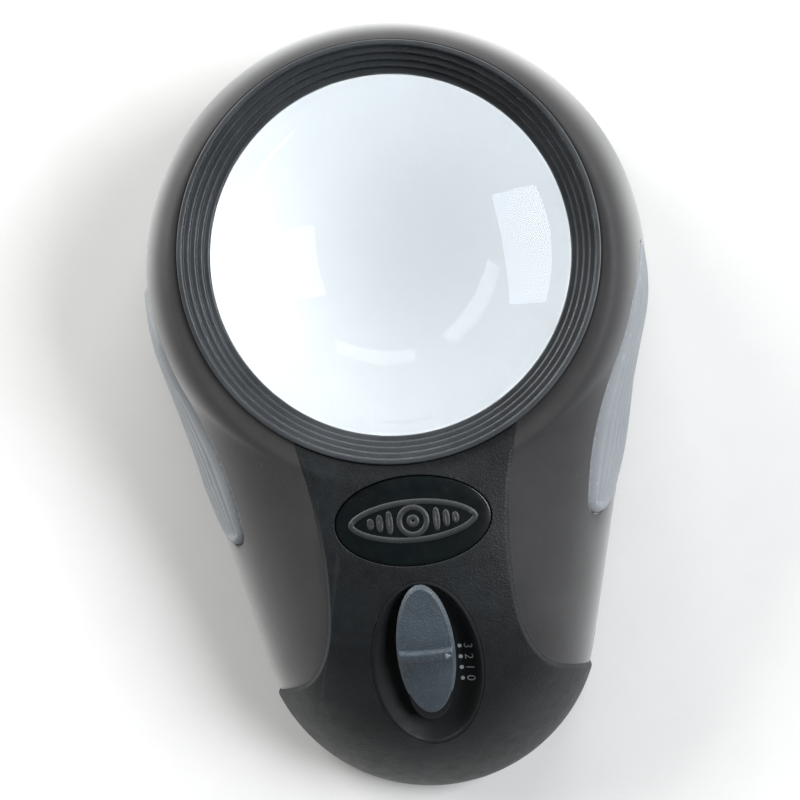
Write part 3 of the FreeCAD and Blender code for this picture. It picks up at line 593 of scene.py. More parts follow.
# ---------------------------------------------------------------- materials
def finish_material(
    name, colour, rough, grain, grain_depth=0.5, mottle=0.12, swing=0.06, wear=0.0, dust=0.0, **shader
):
    """A moulded or metal surface: grain in the bump, mottled colour and gloss, worn edges, dust.

    grain is (cells per metre, height in millimetres).
    """
    material = bpy.data.materials.new(name)
    material.use_nodes = True
    tree = material.node_tree
    new, link = tree.nodes.new, tree.links.new
    surface = tree.nodes["Principled BSDF"]
    place = new("ShaderNodeTexCoord").outputs["Object"]

    def noise(scale, detail=3.0, roughness=0.55):
        node = new("ShaderNodeTexNoise")
        node.inputs["Scale"].default_value = scale
        node.inputs["Detail"].default_value = detail
        node.inputs["Roughness"].default_value = roughness
        link(place, node.inputs["Vector"])
        return node.outputs["Fac"]

    def ramp(value, low, high, out_low, out_high):
        node = new("ShaderNodeMapRange")
        sockets = ("From Min", "From Max", "To Min", "To Max")
        for socket, number in zip(sockets, (low, high, out_low, out_high)):
            node.inputs[socket].default_value = number
        link(value, node.inputs["Value"])
        return node.outputs["Result"]

    def blend(factor, first, second):
        node = new("ShaderNodeMix")
        node.data_type = "RGBA"
        link(factor, node.inputs["Factor"])
        for socket, value in ((node.inputs[6], first), (node.inputs[7], second)):
            if isinstance(value, tuple):
                socket.default_value = (*value, 1)
            else:
                link(value, socket)
        return node.outputs[2]

    broad, cells = noise(95, 4.0), noise(grain[0], 2.0)
    dark = tuple(c * (1 - mottle) for c in colour)
    light = tuple(c * (1 + mottle) for c in colour)
    tint = blend(ramp(broad, 0.3, 0.7, 0, 1), dark, light)
    fleck = tuple(c * (1 + 2.2 * mottle) for c in colour)
    tint = blend(ramp(cells, 0.52, 0.72, 0, 0.7), tint, fleck)
    if wear:
        edges = new("ShaderNodeNewGeometry").outputs["Pointiness"]
        worn = tuple(min(c * 1.9 + 0.03, 0.9) for c in colour)
        tint = blend(ramp(edges, 0.52, 0.6, 0, wear), tint, worn)
    if dust:
        specks = new("ShaderNodeTexVoronoi")
        specks.inputs["Scale"].default_value = 330
        link(place, specks.inputs["Vector"])
        near = ramp(specks.outputs["Distance"], 0.02, 0.045, 1, 0)
        patchy = ramp(noise(60, 1.0), 0.56, 0.7, 0, dust)
        joint = new("ShaderNodeMath")
        joint.operation = "MULTIPLY"
        link(near, joint.inputs[0])
        link(patchy, joint.inputs[1])
        tint = blend(joint.outputs[0], tint, (0.42, 0.43, 0.42))
    link(tint, surface.inputs["Base Color"])
    link(ramp(noise(420, 3.0), 0.3, 0.7, rough - swing, rough + swing), surface.inputs["Roughness"])
    bump = new("ShaderNodeBump")
    bump.inputs["Strength"].default_value = grain_depth
    bump.inputs["Distance"].default_value = grain[1] * MM
    link(cells, bump.inputs["Height"])
    link(bump.outputs["Normal"], surface.inputs["Normal"])
    for socket, value in shader.items():
        surface.inputs[socket.replace("_", " ")].default_value = value
    return material


def glowing(material, colour, strength):
    surface = material.node_tree.nodes["Principled BSDF"]
    surface.inputs["Emission Color"].default_value = (*colour, 1)
    surface.inputs["Emission Strength"].default_value = strength
    return material


def clear_acrylic():
    """Clear lens plastic with the faintest wiping marks."""
    material = finish_material(
        "clear_acrylic", (0.97, 0.985, 1.0), 0.006, (600, 0.0004), 0.05, 0.006, 0.006
    )
    surface = material.node_tree.nodes["Principled BSDF"]
    surface.inputs["Transmission Weight"].default_value = 1
    surface.inputs["IOR"].default_value = 1.49
    surface.inputs["Specular Tint"].default_value = (0.22, 0.23, 0.25, 1)
    return material


def cell_jacket():
    """A battery's printed sleeve: dark body with a copper band at one end."""
    material = finish_material(
        "cell_sleeve", (0.03, 0.035, 0.04), 0.28, (1500, 0.01), 0.2, 0.15, Metallic=0.5
    )
    tree = material.node_tree
    surface = tree.nodes["Principled BSDF"]
    body = surface.inputs["Base Color"].links[0].from_socket
    split = tree.nodes.new("ShaderNodeSeparateXYZ")
    tree.links.new(tree.nodes["Texture Coordinate"].outputs["Object"], split.inputs[0])
    band = tree.nodes.new("ShaderNodeMath")
    band.operation = "GREATER_THAN"
    band.inputs[1].default_value = 10 * MM
    tree.links.new(split.outputs["X"], band.inputs[0])
    mix = tree.nodes.new("ShaderNodeMix")
    mix.data_type = "RGBA"
    mix.inputs[7].default_value = (0.55, 0.24, 0.08, 1)
    tree.links.new(band.outputs[0], mix.inputs["Factor"])
    tree.links.new(body, mix.inputs[6])
    tree.links.new(mix.outputs[2], surface.inputs["Base Color"])
    return material


SOFT_BLACK = finish_material(
    "soft_touch_black", (0.027, 0.0265, 0.0275), 0.6, (3000, 0.02), 0.4, 0.16, 0.03, 0.15, 0.5,
    Sheen_Weight=0.95, Sheen_Roughness=0.38, Specular_IOR_Level=0.3,
)
GRAIN_BLACK = finish_material(
    "grained_black", (0.0060, 0.0076, 0.0088), 0.48, (2700, 0.09), 0.8, 0.5, 0.05, 0.2, 0.8,
    Specular_IOR_Level=0.42,
)
RING_BLACK = finish_material(
    "bezel_black", (0.030, 0.034, 0.038), 0.42, (2100, 0.05), 0.7, 0.3, 0.05, 0.9, 0.3
)
BASE_BLACK = finish_material(
    "base_black", (0.012, 0.0125, 0.013), 0.5, (2000, 0.05), 0.6, 0.18, 0.06, 0.3, 0.3
)
GLOSS_BLACK = finish_material(
    "gloss_black", (0.0014, 0.0034, 0.0040), 0.3, (900, 0.002), 0.1, 0.2, 0.04, 0, 0.35
)
RELIEF_BLACK = finish_material(
    "relief_black", (0.017, 0.0195, 0.021), 0.5, (2600, 0.03), 0.5, 0.2, 0.05, 0.5
)
DISH_BLACK = finish_material(
    "dish_black", (0.0058, 0.0064, 0.0072), 0.6, (2600, 0.03), 0.5, 0.25, 0.05, 0, 0.4,
    Specular_IOR_Level=0.3,
)
KNOB_GREY = finish_material(
    "knob_grey", (0.049, 0.064, 0.077), 0.5, (2500, 0.12), 0.9, 0.3, 0.06, 0.8
)
GRIP_GREY = finish_material(
    "grip_rubber", (0.235, 0.252, 0.270), 0.58, (2600, 0.04), 0.5, 0.08, 0.05, 0.2, 0.1
)
ACRYLIC = clear_acrylic()
WHITE = finish_material("reflector_white", (0.78, 0.8, 0.82), 0.38, (2200, 0.02), 0.3, 0.03, 0.05)
SEAL = finish_material("seal_black", (0.015, 0.015, 0.016), 0.7, (2600, 0.05), 0.6, 0.2)
BOARD_WHITE = finish_material("board_white", (0.66, 0.68, 0.66), 0.4, (3000, 0.01), 0.3, 0.04, 0.05)
BOARD_GREEN = finish_material(
    "board_green", (0.015, 0.12, 0.045), 0.33, (1800, 0.02), 0.4, 0.25, 0.05
)
LED_BODY = finish_material("led_body", (0.75, 0.76, 0.75), 0.4, (3000, 0.01), 0.3, 0.04, 0.05)
PHOSPHOR = finish_material("led_phosphor", (0.85, 0.75, 0.3), 0.5, (2500, 0.01))
LED_GLOW = glowing(PHOSPHOR, (0.88, 0.94, 1.0), 330)
CHIP = finish_material("chip_black", (0.012, 0.012, 0.013), 0.45, (2600, 0.02), 0.4, 0.3)
CONTACT = finish_material(
    "contact_metal", (0.72, 0.66, 0.5), 0.27, (1500, 0.01), 0.3, 0.1, 0.08, Metallic=1.0
)
SHEET_METAL = finish_material(
    "frame_metal", (0.55, 0.56, 0.57), 0.3, (1100, 0.01), 0.3, 0.1, 0.1, Metallic=1.0
)
SLIDER = finish_material("slider_white", (0.62, 0.6, 0.54), 0.42, (2600, 0.02), 0.4, 0.06)
STEEL = finish_material(
    "screw_steel", (0.16, 0.16, 0.17), 0.32, (1800, 0.015), 0.4, 0.2, 0.08, 0.6, Metallic=1.0
)
CELL = cell_jacket()
WIRE = finish_material("wire_skin", (0.35, 0.02, 0.018), 0.42, (1500, 0.02), 0.3, 0.12)
FELT = finish_material("pad_rubber", (0.045, 0.046, 0.048), 0.75, (2600, 0.08), 0.8, 0.25, 0.06)
PRINT = finish_material("legend_print", (0.36, 0.4, 0.41), 0.5, (2600, 0.01), 0.3, 0.18)
ARROW_GREY = finish_material("arrow_grey", (0.21, 0.24, 0.26), 0.5, (2600, 0.02), 0.4, 0.2)


# ---------------------------------------------------------------- cutters that follow the shell's surface
TURN = np.linspace(0, 2 * math.pi, 240, endpoint=False)


def fillet_profile(radius, depth):
    """Offsets (outward, up) of a cutter that rounds the edge it makes by the radius."""
    turns = np.linspace(0, math.pi / 2, 6)
    arc = [(radius * (1 - math.sin(t)), -radius * (1 - math.cos(t))) for t in turns]
    return [(radius + 1.6, 1.6)] + arc + [(0, -depth)]


def switch_points(x, along, off):
    """Points of the switch's tilted frame: along the slope, and off it."""
    x, along, off = np.broadcast_arrays(x, along, off)
    across = SWITCH_ORIGIN + x[..., None] * np.array([1.0, 0, 0])
    return across + along[..., None] * SLOPE + off[..., None] * STANDOFF


def casing_off(x, along):
    """How far the spine's surface stands off the switch's tilted plane."""
    low = np.full(np.shape(x), -14.0)
    high = np.full(np.shape(x), 10.0)
    for _ in range(26):
        middle = (low + high) / 2
        point = switch_points(x, along, middle)
        hull = hull_at(SPINE, level_of(point[..., 2]))
        inside = (outside(point[..., 0], point[..., 1], hull) < 0) & (point[..., 2] < CROWN_Z)
        low = np.where(inside, middle, low)
        high = np.where(inside, high, middle)
    return (low + high) / 2


def dish_ring(offset):
    """The dish's oval, moved outward by an offset, as across and along values."""
    x = (DISH_HALF_WIDTH + offset) * np.cos(TURN)
    return x, DISH_CENTRE + (DISH_HALF_LENGTH + offset) * np.sin(TURN)


def spine_cutter(name, rows):
    """A cutter whose walls take the spine's grained finish."""
    finishes = (SOFT_BLACK, GRAIN_BLACK)
    return grid_object(name, np.array(rows), finishes, column_materials=[1] * len(TURN))


def dish_cutter():
    rows = []
    for out, up in fillet_profile(0.09, 1.5):
        x, along = dish_ring(out)
        rows.append(switch_points(x, along, casing_off(x, along) + up))
    rows.append(switch_points(*dish_ring(0), -12.0))
    return spine_cutter("dish_cutter", rows)


def badge_ring(offset):
    x = (BADGE_HALF_WIDTH + offset) * np.cos(TURN)
    y = BADGE_CENTRE + (BADGE_HALF_HEIGHT + offset) * np.sin(TURN)
    return x, y


def badge_row(offset, up):
    x, y = badge_ring(offset)
    return np.stack([x, y, top_height(SPINE, x, y) + up], -1)


def badge_cutter():
    rows = [badge_row(out, up) for out, up in fillet_profile(0.13, 0.8)]
    x, y = badge_ring(0)
    rows.append(np.stack([x, y, np.full_like(x, badge_low[2] - 0.02)], -1))
    return spine_cutter("badge_cutter", rows)


# ---------------------------------------------------------------- grips
GRIP_HEAD = np.array([26.5, 24.5])
GRIP_CREST = np.array([15.5, 31.0])
GRIP_TAIL_UPPER = np.array([-21.5, 25.0])
GRIP_TAIL_LOWER = np.array([-21.5, 17.0])
GRIP_ARCS = (20.0, 80.0, 5.0, 34.5)
GRIP_GROOVES = 6
GRIP_DENT = (4.0, 14.0)
GRIP_DENT_REACH = (17.0, 4.6)
GRIP_PROUD = 0.95
GRIP_DEPTH = 1.15


def arc_line(start, end, radius, count):
    """Points on an arc that bulges to the right of the way from start to end."""
    half = (end - start) / 2
    length = np.linalg.norm(half)
    normal = np.array([half[1], -half[0]]) / length
    centre = start + half - normal * math.sqrt(radius**2 - length**2)
    swing = math.asin(length / radius)
    turns = np.linspace(-swing, swing, count)
    return centre + radius * (np.cos(turns)[:, None] * normal + np.sin(turns)[:, None] * half / length)


def grip_outline():
    """The leaf's outline in side view, as (y, z) points."""
    corners = (GRIP_HEAD, GRIP_CREST, GRIP_TAIL_UPPER, GRIP_TAIL_LOWER, GRIP_HEAD)
    arcs = [arc_line(a, b, r, 130) for a, b, r in zip(corners, corners[1:], GRIP_ARCS)]
    return np.vstack([arc[:-1] for arc in arcs])


GRIP_LINE = grip_outline()
GRIP_TIP = int(np.argmin(GRIP_LINE[:, 0]))


def grip_edges(y):
    """Upper and lower height of the grip's leaf at each y."""
    upper, lower = GRIP_LINE[: GRIP_TIP + 1][::-1], np.vstack([GRIP_LINE[GRIP_TIP:], GRIP_HEAD])
    return np.interp(y, upper[:, 0], upper[:, 1]), np.interp(y, lower[:, 0], lower[:, 1])


def edge_distance(y, z):
    """Distance of side-view points from the leaf's outline."""
    points = np.stack([np.ravel(y), np.ravel(z)], -1)
    pairs = zip(GRIP_LINE, np.roll(GRIP_LINE, -1, 0))
    dense = np.vstack([np.linspace(a, b, 4, endpoint=False) for a, b in pairs])
    gaps = [np.min(np.hypot(*(dense - point).T)) for point in points]
    return np.reshape(gaps, np.shape(y))


def grip_relief(y, z):
    """How far the grip stands off the flank: rounded edge, lengthwise grooves, thumb dent."""
    upper, lower = grip_edges(y)
    rounding = np.clip(edge_distance(y, z) / 0.8, 0, 1)
    proud = GRIP_PROUD * (0.45 + 0.55 * smoothstep(GRIP_HEAD[0], GRIP_HEAD[0] - 16, y))
    height = -0.3 + (proud + 0.3) * np.sqrt(1 - (1 - rounding) ** 2)
    pitch = np.minimum(2.3, (upper - lower) / (GRIP_GROOVES + 1))
    for k in range(GRIP_GROOVES):
        middle = upper - (k + 1) * pitch
        across = np.clip(np.abs(z - middle) / 0.62, 0, 1)
        start, end = GRIP_LINE[GRIP_TIP, 0] + 1.2, 19.0 - 5.2 * k
        along = smoothstep(start, start + 1.5, y) * smoothstep(end, end - 5, y)
        height = height - 0.5 * np.cos(across * math.pi / 2) ** 2 * along
    dent = np.hypot((y - GRIP_DENT[0]) / GRIP_DENT_REACH[0], (z - GRIP_DENT[1]) / GRIP_DENT_REACH[1])
    return height - 0.8 * (1 - smoothstep(0.5, 1.0, dent))


def grip_grid(side):
    """The grip as a closed solid: front rows across the leaf, then the back."""
    tip, head = GRIP_LINE[GRIP_TIP, 0], GRIP_HEAD[0]
    t = np.linspace(0.012, 0.997, 210)
    y = tip + (head - tip) * (1 - np.cos(t * math.pi / 2) ** 1.15)
    share = (1 - np.cos(np.linspace(0, math.pi, 84))) / 2
    upper, lower = grip_edges(y)
    z = lower[:, None] + (upper - lower)[:, None] * share
    y = np.repeat(y[:, None], len(share), axis=1)
    front = side_of(FLANK, y, z) + grip_relief(y, z)
    back = side_of(FLANK, y, z) - GRIP_DEPTH
    faces = [np.stack([side * front, y, z], -1), np.stack([side * back, y, z], -1)[:, ::-1]]
    return np.concatenate(faces, axis=1)


def grip_cutter(side):
    """A leaf a little larger than the grip, which rounds the edge of its bed in the flank."""
    gap = 0.28
    along = np.roll(GRIP_LINE, -1, 0) - np.roll(GRIP_LINE, 1, 0)
    along /= np.linalg.norm(along, axis=1, keepdims=True)
    outward = np.stack([along[:, 1], -along[:, 0]], -1)
    head = int(np.argmax(GRIP_LINE[:, 0]))
    outward[head] = (1, 0)
    rows = []
    for out, up in fillet_profile(0.3, GRIP_DEPTH + 0.1):
        line = GRIP_LINE + outward * (out + gap)
        rows.append(np.column_stack([side * (side_of(FLANK, line[:, 0], line[:, 1]) + up), line]))
    return grid_object("grip_cutter", np.array(rows))


# ---------------------------------------------------------------- shells
SCREW_HOLE = 2.1
SCREW_SINK = 1.2
PAD_HOLE = 3.15
PAD_SINK = 0.6


def make_shells():
    finishes = (SOFT_BLACK, GRAIN_BLACK)
    top = grid_object("top_shell", top_grid(), finishes, closed=True, column_materials=column_slots())
    for cutter in (dish_cutter(), badge_cutter(), grip_cutter(1), grip_cutter(-1)):
        carve(top, cutter)
    show(top, "casing", "shell_black", "top_housing", sharp=40)

    bottom = grid_object("bottom_shell", bottom_grid(), (BASE_BLACK,), closed=True)
    door_low, door_high = extent("battery_door")
    mouth = rounded_box(
        "mouth",
        (door_low[0] + 0.8, -90, -1),
        (door_high[0] - 0.8, door_high[1] + 0.2, FLOOR_Z + 1),
        0.4,
        (BASE_BLACK,),
    )
    carve(bottom, mouth)
    for node, radius, top_z in (
        ("housing_screws", SCREW_HOLE, BASE_Z + SCREW_SINK),
        ("glide_pads", PAD_HOLE, BASE_Z + PAD_SINK),
    ):
        for x, y in clusters(node):
            profile = [(0.01, -1), (radius + 0.35, -1), (radius + 0.35, BASE_Z - 0.05)]
            profile += [(radius + 0.1, BASE_Z + 0.08), (radius, BASE_Z + 0.35)]
            profile += [(radius, top_z), (0.01, top_z)]
            carve(bottom, turned("hole", profile, (BASE_BLACK,), (x, y)))
    show(bottom, "casing", "base_black", "bottom_housing", sharp=40)


def clusters(node):
    """Plan centres of a node's separate parts, from its own mesh."""
    build = bmesh.new()
    build.from_mesh(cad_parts[node].data)
    bmesh.ops.remove_doubles(build, verts=build.verts[:], dist=1e-6)
    seen, places = set(), []
    for start in build.verts:
        if start in seen:
            continue
        group, stack = [], [start]
        seen.add(start)
        while stack:
            vertex = stack.pop()
            group.append(vertex.co)
            for edge in vertex.link_edges:
                other = edge.other_vert(vertex)
                if other not in seen:
                    seen.add(other)
                    stack.append(other)
        points = np.array(group) / MM
        places.append(tuple((points.min(0) + points.max(0))[:2] / 2))
    build.free()
    return places


# ---------------------------------------------------------------- optics
TERRACES = 5
TREAD = 1.02
RISER = 1.66
LENS_SEAT_RADIUS = 36.1
BEZEL_SKIRT_RADIUS = 38.0


def make_bezel():
    """A ring whose terraces step down to the lens."""
    corners, radii = [], []
    for i in range(TERRACES):
        height = bezel_high[2] - i * RISER
        corners += [(BEZEL_RADIUS - i * TREAD, height), (BEZEL_RADIUS - (i + 1) * TREAD, height)]
        radii += [0.3, 0.34] if i == 0 else [0.12, 0.3]
    rim_z = lens_low[2] + 11.0
    lip_z = rim_z - 0.7
    foot_z = TOP_LEVEL_Z - 0.05
    corners += [(BEZEL_RADIUS - TERRACES * TREAD, rim_z), (LENS_SEAT_RADIUS, rim_z)]
    corners += [(LENS_SEAT_RADIUS, lip_z), (BEZEL_SKIRT_RADIUS, lip_z)]
    corners += [(BEZEL_SKIRT_RADIUS, foot_z), (BEZEL_RADIUS, foot_z)]
    radii += [0.2, 0.1, 0.1, 0.1, 0.1, 0.1]
    ring = revolve("bezel_ring", rounded(corners, radii, 5), (RING_BLACK,), segments=300)
    show(ring, "casing", "bezel_black", "lens_bezel", sharp=50)


LENS_RISE = 8.0
LENS_RIM = 3.0
LENS_CLEAR_RADIUS = 33.4
LENS_RADIUS = 35.95


def make_lens():
    """Two equal curved faces and a flat rim between them."""
    rim_low = lens_low[2] + LENS_RISE
    rim_high = rim_low + LENS_RIM
    sphere = (LENS_CLEAR_RADIUS**2 + LENS_RISE**2) / (2 * LENS_RISE)
    radius = np.concatenate([[0.02], np.linspace(0.6, LENS_CLEAR_RADIUS, 60)])
    cap = np.sqrt(sphere**2 - radius**2) - (sphere - LENS_RISE)
    lower = list(zip(radius, rim_low - cap))
    upper = list(zip(radius, rim_high + cap))[::-1]
    flat = LENS_CLEAR_RADIUS + 0.2
    corners = [(flat, rim_low), (LENS_RADIUS, rim_low), (LENS_RADIUS, rim_high), (flat, rim_high)]
    profile = lower + rounded(corners, 0.3, closed=False).tolist() + upper
    lens = turned("magnifier_lens", profile, (ACRYLIC,), (0.0, LENS_Y), 256)
    show(lens, "casing", "lens_acrylic", "lens", sharp=30)


SHROUD_WALL = 1.3
SHROUD_FLANGE = 1.5
SHROUD_TOP_RADIUS = 38.0
SHROUD_FOOT_RADIUS = 39.1
SHROUD_RIM = (36.2, 37.6)
SHROUD_OPENING = 34.0


def make_shroud():
    """The reflector cone, its flange under the lens and the rim round the gasket."""
    seat, foot_z = lens_low[2] + 7.5, FLOOR_Z + 0.05
    rim_in, rim_out = SHROUD_RIM
    rim_z = seat + 2.6
    corners = [
        (SHROUD_OPENING, seat - SHROUD_FLANGE), (SHROUD_TOP_RADIUS, seat - SHROUD_FLANGE),
        (SHROUD_FOOT_RADIUS, foot_z), (SHROUD_FOOT_RADIUS + SHROUD_WALL, foot_z),
        (SHROUD_TOP_RADIUS + SHROUD_WALL, seat), (rim_out, seat), (rim_out, rim_z),
        (rim_in, rim_z), (rim_in, seat), (SHROUD_OPENING, seat),
    ]
    ring = revolve("reflector_shroud", rounded(corners, 0.35, 4), (WHITE,))
    show(ring, "casing", "reflector_white", "light_shroud", sharp=40)


LED_HALF = 1.45


def make_leds():
    """Each LED faces the lens axis: a white package with a lit disc under it."""
    low, high = extent("white_leds")
    bottom = low[2]
    dome = [(0.01, bottom), (0.6, bottom + 0.005), (1.0, bottom + 0.02), (1.1, bottom + 0.1)]
    dome.append((0.01, bottom + 0.1))
    bodies, glows = [], []
    for x, y in clusters("white_leds"):
        turn = Matrix.Rotation(math.atan2(y - LENS_Y, x), 4, "Z")
        move = Matrix.Translation(Vector((x, y, 0)) * MM)
        corners = (-LED_HALF, -LED_HALF, bottom + 0.05), (LED_HALF, LED_HALF, high[2])
        body = rounded_box("led", *corners, 0.12, (LED_BODY,))
        glow = turned("glow", dome, (LED_GLOW,), segments=32)
        for thing in (body, glow):
            thing.data.transform(move @ turn)
        bodies.append(body)
        glows.append(glow)
    show(join_objects("led_packages", bodies), "casing", "led_white", "white_leds")
    show(join_objects("led_phosphor", glows), "casing", "led_white")


# ---------------------------------------------------------------- badge
def make_badge():
    rows = [np.stack([*badge_ring(-0.12), np.full(len(TURN), badge_low[2])], -1)]
    for out, up in ((-0.12, -0.35), (-0.15, -0.12), (-0.24, -0.04), (-0.45, 0.0), (-1.2, 0.02)):
        rows.append(badge_row(out, up - BADGE_SINK))
    for out in (-2.2, -3.4, -4.6, -5.8, -6.9, -7.8):
        rows.append(badge_row(out, 0.03 - BADGE_SINK))
    plate = grid_object("badge_oval", np.array(rows), (GLOSS_BLACK,))
    show(plate, "casing", "gloss_black", "badge_plate", sharp=40)
    ridges = [
        ridge("almond", almond(11.4, 3.5, 1.25), 1.0, 0.28),
        ridge("iris", almond(2.5, 2.5, 1.0), 1.0, 0.28),
        ridge("pupil", almond(0.7, 0.7, 1.0), 0.9, 0.28),
    ]
    for side in (-1, 1):
        for x, reach in ((4.3, 1.8), (6.1, 1.25), (7.8, 0.7)):
            ridges.append(ridge("lash", lash_loop(side * x, reach), 0.7, 0.26))
    show(join_objects("badge_relief", ridges), "casing", "gloss_black", sharp=40)


def almond(half_width, half_height, power):
    """A closed oval about the badge's centre, pointed where the power is over 1."""
    turn = np.linspace(0, 2 * math.pi, 160, endpoint=False)
    y = np.sign(np.sin(turn)) * np.abs(np.sin(turn)) ** power
    return np.stack([half_width * np.cos(turn), BADGE_CENTRE + half_height * y], -1)


def lash_loop(x, half_height):
    """A narrow upright loop beside the iris."""
    turn = np.linspace(0, 2 * math.pi, 60, endpoint=False)
    return np.stack([x + 0.3 * np.cos(turn), BADGE_CENTRE + half_height * np.sin(turn)], -1)


RIDGE_PROFILE = ((-0.5, -0.1), (-0.5, 0.5), (-0.34, 0.92), (0, 1.0), (0.34, 0.92), (0.5, 0.5), (0.5, -0.1))


def ridge(name, loop, width, height):
    """A raised line along a closed plan curve on the badge."""
    along = np.roll(loop, -1, 0) - np.roll(loop, 1, 0)
    along /= np.maximum(np.linalg.norm(along, axis=1, keepdims=True), 1e-6)
    normal = np.stack([along[:, 1], -along[:, 0]], -1)
    rows = []
    for out, up in RIDGE_PROFILE:
        line = loop + normal * out * width
        z = top_height(SPINE, line[:, 0], line[:, 1]) - BADGE_SINK + 0.03 + up * height
        rows.append(np.column_stack([line, z]))
    return grid_object(name, np.array(rows), (RELIEF_BLACK,), closed=True)


# ---------------------------------------------------------------- switch
# offsets in from the rim, and how far the bowl's lip lies under the casing's surface there
DISH_LIP = ((0.05, -0.7), (0.05, -0.14), (0.09, -0.06), (0.2, -0.03), (0.6, -0.04))
DISH_LIP_WIDTH = 0.6


def dish_wall_off(share, rim):
    """Height of the bowl's wall a share of the way in from the rim."""
    fall = 1 - (1 - share) ** 1.45
    return (rim - 0.04) * (1 - fall) + DISH_FLOOR * fall


def dish_off(x, along):
    """Height of the bowl's surface in the switch's frame."""
    low = np.zeros(np.shape(x))
    high = np.full(np.shape(x), DISH_HALF_WIDTH - 0.5)
    for _ in range(30):
        middle = (low + high) / 2
        down = (along - DISH_CENTRE) / (DISH_HALF_LENGTH - middle)
        inside = np.hypot(x / (DISH_HALF_WIDTH - middle), down) < 1
        low, high = np.where(inside, middle, low), np.where(inside, high, middle)
    depth = (low + high) / 2
    down = (along - DISH_CENTRE) / (DISH_HALF_LENGTH - depth)
    turn = np.arctan2(down, x / (DISH_HALF_WIDTH - depth))
    rim = casing_off(DISH_HALF_WIDTH * np.cos(turn), DISH_CENTRE + DISH_HALF_LENGTH * np.sin(turn))
    share = np.clip((depth - DISH_LIP_WIDTH) / DISH_WALL, 0, 1)
    return dish_wall_off(share, rim)


SLOT_CENTRE = 2.18
SLOT_HALF_LENGTH = 4.95
SLOT_HALF_WIDTH = 1.4
SLOT_POWER = 0.16
DISH_UNDERSIDE = DISH_FLOOR - 1.4


def squared_off(wave):
    """A sine or cosine pushed toward its limits, which makes a circle nearly square."""
    return np.sign(wave) * np.abs(wave) ** SLOT_POWER


def make_dish():
    rim = casing_off(*dish_ring(0))
    rows = [switch_points(*dish_ring(-DISH_LIP[0][0]), DISH_UNDERSIDE)]
    for out, up in DISH_LIP:
        rows.append(switch_points(*dish_ring(-out), casing_off(*dish_ring(-out)) + up))
    for share in np.linspace(0, 1, 22)[1:]:
        inward = dish_ring(-DISH_LIP_WIDTH - DISH_WALL * share)
        rows.append(switch_points(*inward, dish_wall_off(share, rim)))
    slot_x = SLOT_HALF_WIDTH * squared_off(np.cos(TURN))
    slot_along = SLOT_CENTRE + SLOT_HALF_LENGTH * squared_off(np.sin(TURN))
    floor_x, floor_along = dish_ring(-DISH_LIP_WIDTH - DISH_WALL)
    for share in (0.3, 0.6, 0.85, 0.95, 1.0):
        x = floor_x + (slot_x - floor_x) * share
        along = floor_along + (slot_along - floor_along) * share
        rows.append(switch_points(x, along, DISH_FLOOR))
    rows.append(switch_points(slot_x, slot_along, DISH_UNDERSIDE))
    bowl = grid_object("dish_bowl", np.array(rows), (DISH_BLACK,), closed=True)
    show(bowl, "casing", "gloss_black", "switch_dish", sharp=50)


KNOB_CENTRE = 2.76
KNOB_HALF_WIDTH = 5.4
KNOB_HALF_LENGTH = 13.5
KNOB_POWER = 2.04
BAR_CENTRE = 2.15
BAR_WIDTH = 2.5


def knob_edge(x, along):
    """Distance in from the knob's outline."""
    a, b = np.abs(x) / KNOB_HALF_WIDTH, np.abs(along) / KNOB_HALF_LENGTH
    less = KNOB_POWER - 1
    reach = np.maximum((a**KNOB_POWER + b**KNOB_POWER) ** (1 / KNOB_POWER), 1e-3)
    slope = np.hypot(a**less / KNOB_HALF_WIDTH, b**less / KNOB_HALF_LENGTH)
    slope = np.maximum(slope * reach ** (1 - KNOB_POWER), 1e-3)
    return np.clip((1 - reach) / slope, 0, 9)


def knob_top(x, along):
    """Height of the knob's face; along is measured from its own centre."""
    height = 0.32 - 0.75 * (along / KNOB_HALF_LENGTH) ** 2 - 0.12 * (x / KNOB_HALF_WIDTH) ** 2
    from_bar = np.abs(along + KNOB_CENTRE - BAR_CENTRE - 0.3 * (x / KNOB_HALF_WIDTH) ** 2)
    bar = 1 - smoothstep(BAR_WIDTH / 2 - 0.75, BAR_WIDTH / 2 + 0.15, from_bar)
    edge = knob_edge(x, along)
    chamfer = 0.5 * (1 - np.clip(edge / 0.62, 0, 1)) ** 1.25
    return height + 0.55 * bar * smoothstep(0.1, 0.7, edge) - chamfer


BAR_PLACE = BAR_CENTRE - KNOB_CENTRE
SKIRT = ((2.6, -1.0), (1.5, -1.0), (1.7, -1.7), (2.1, -2.15), (3.0, -2.2))
ARROW = np.array([(4.6, 0), (3.5, 0.62), (3.5, -0.62)])


def knob_columns():
    """Places along the knob, closer together at its ends and at the edges of the bar."""
    ends = KNOB_HALF_LENGTH * np.sin(np.linspace(-1, 1, 150) * math.pi / 2 * 0.992)
    fine = [np.linspace(-0.6, 0.3, 10) + BAR_PLACE + side * BAR_WIDTH / 2 for side in (-1, 1)]
    fine.append(np.linspace(-0.3, 0.6, 10) + BAR_PLACE + BAR_WIDTH / 2 - 0.3)
    along = np.unique(np.round(np.concatenate([ends, *fine]), 4))
    return along[np.concatenate([[True], np.diff(along) > 0.03])]


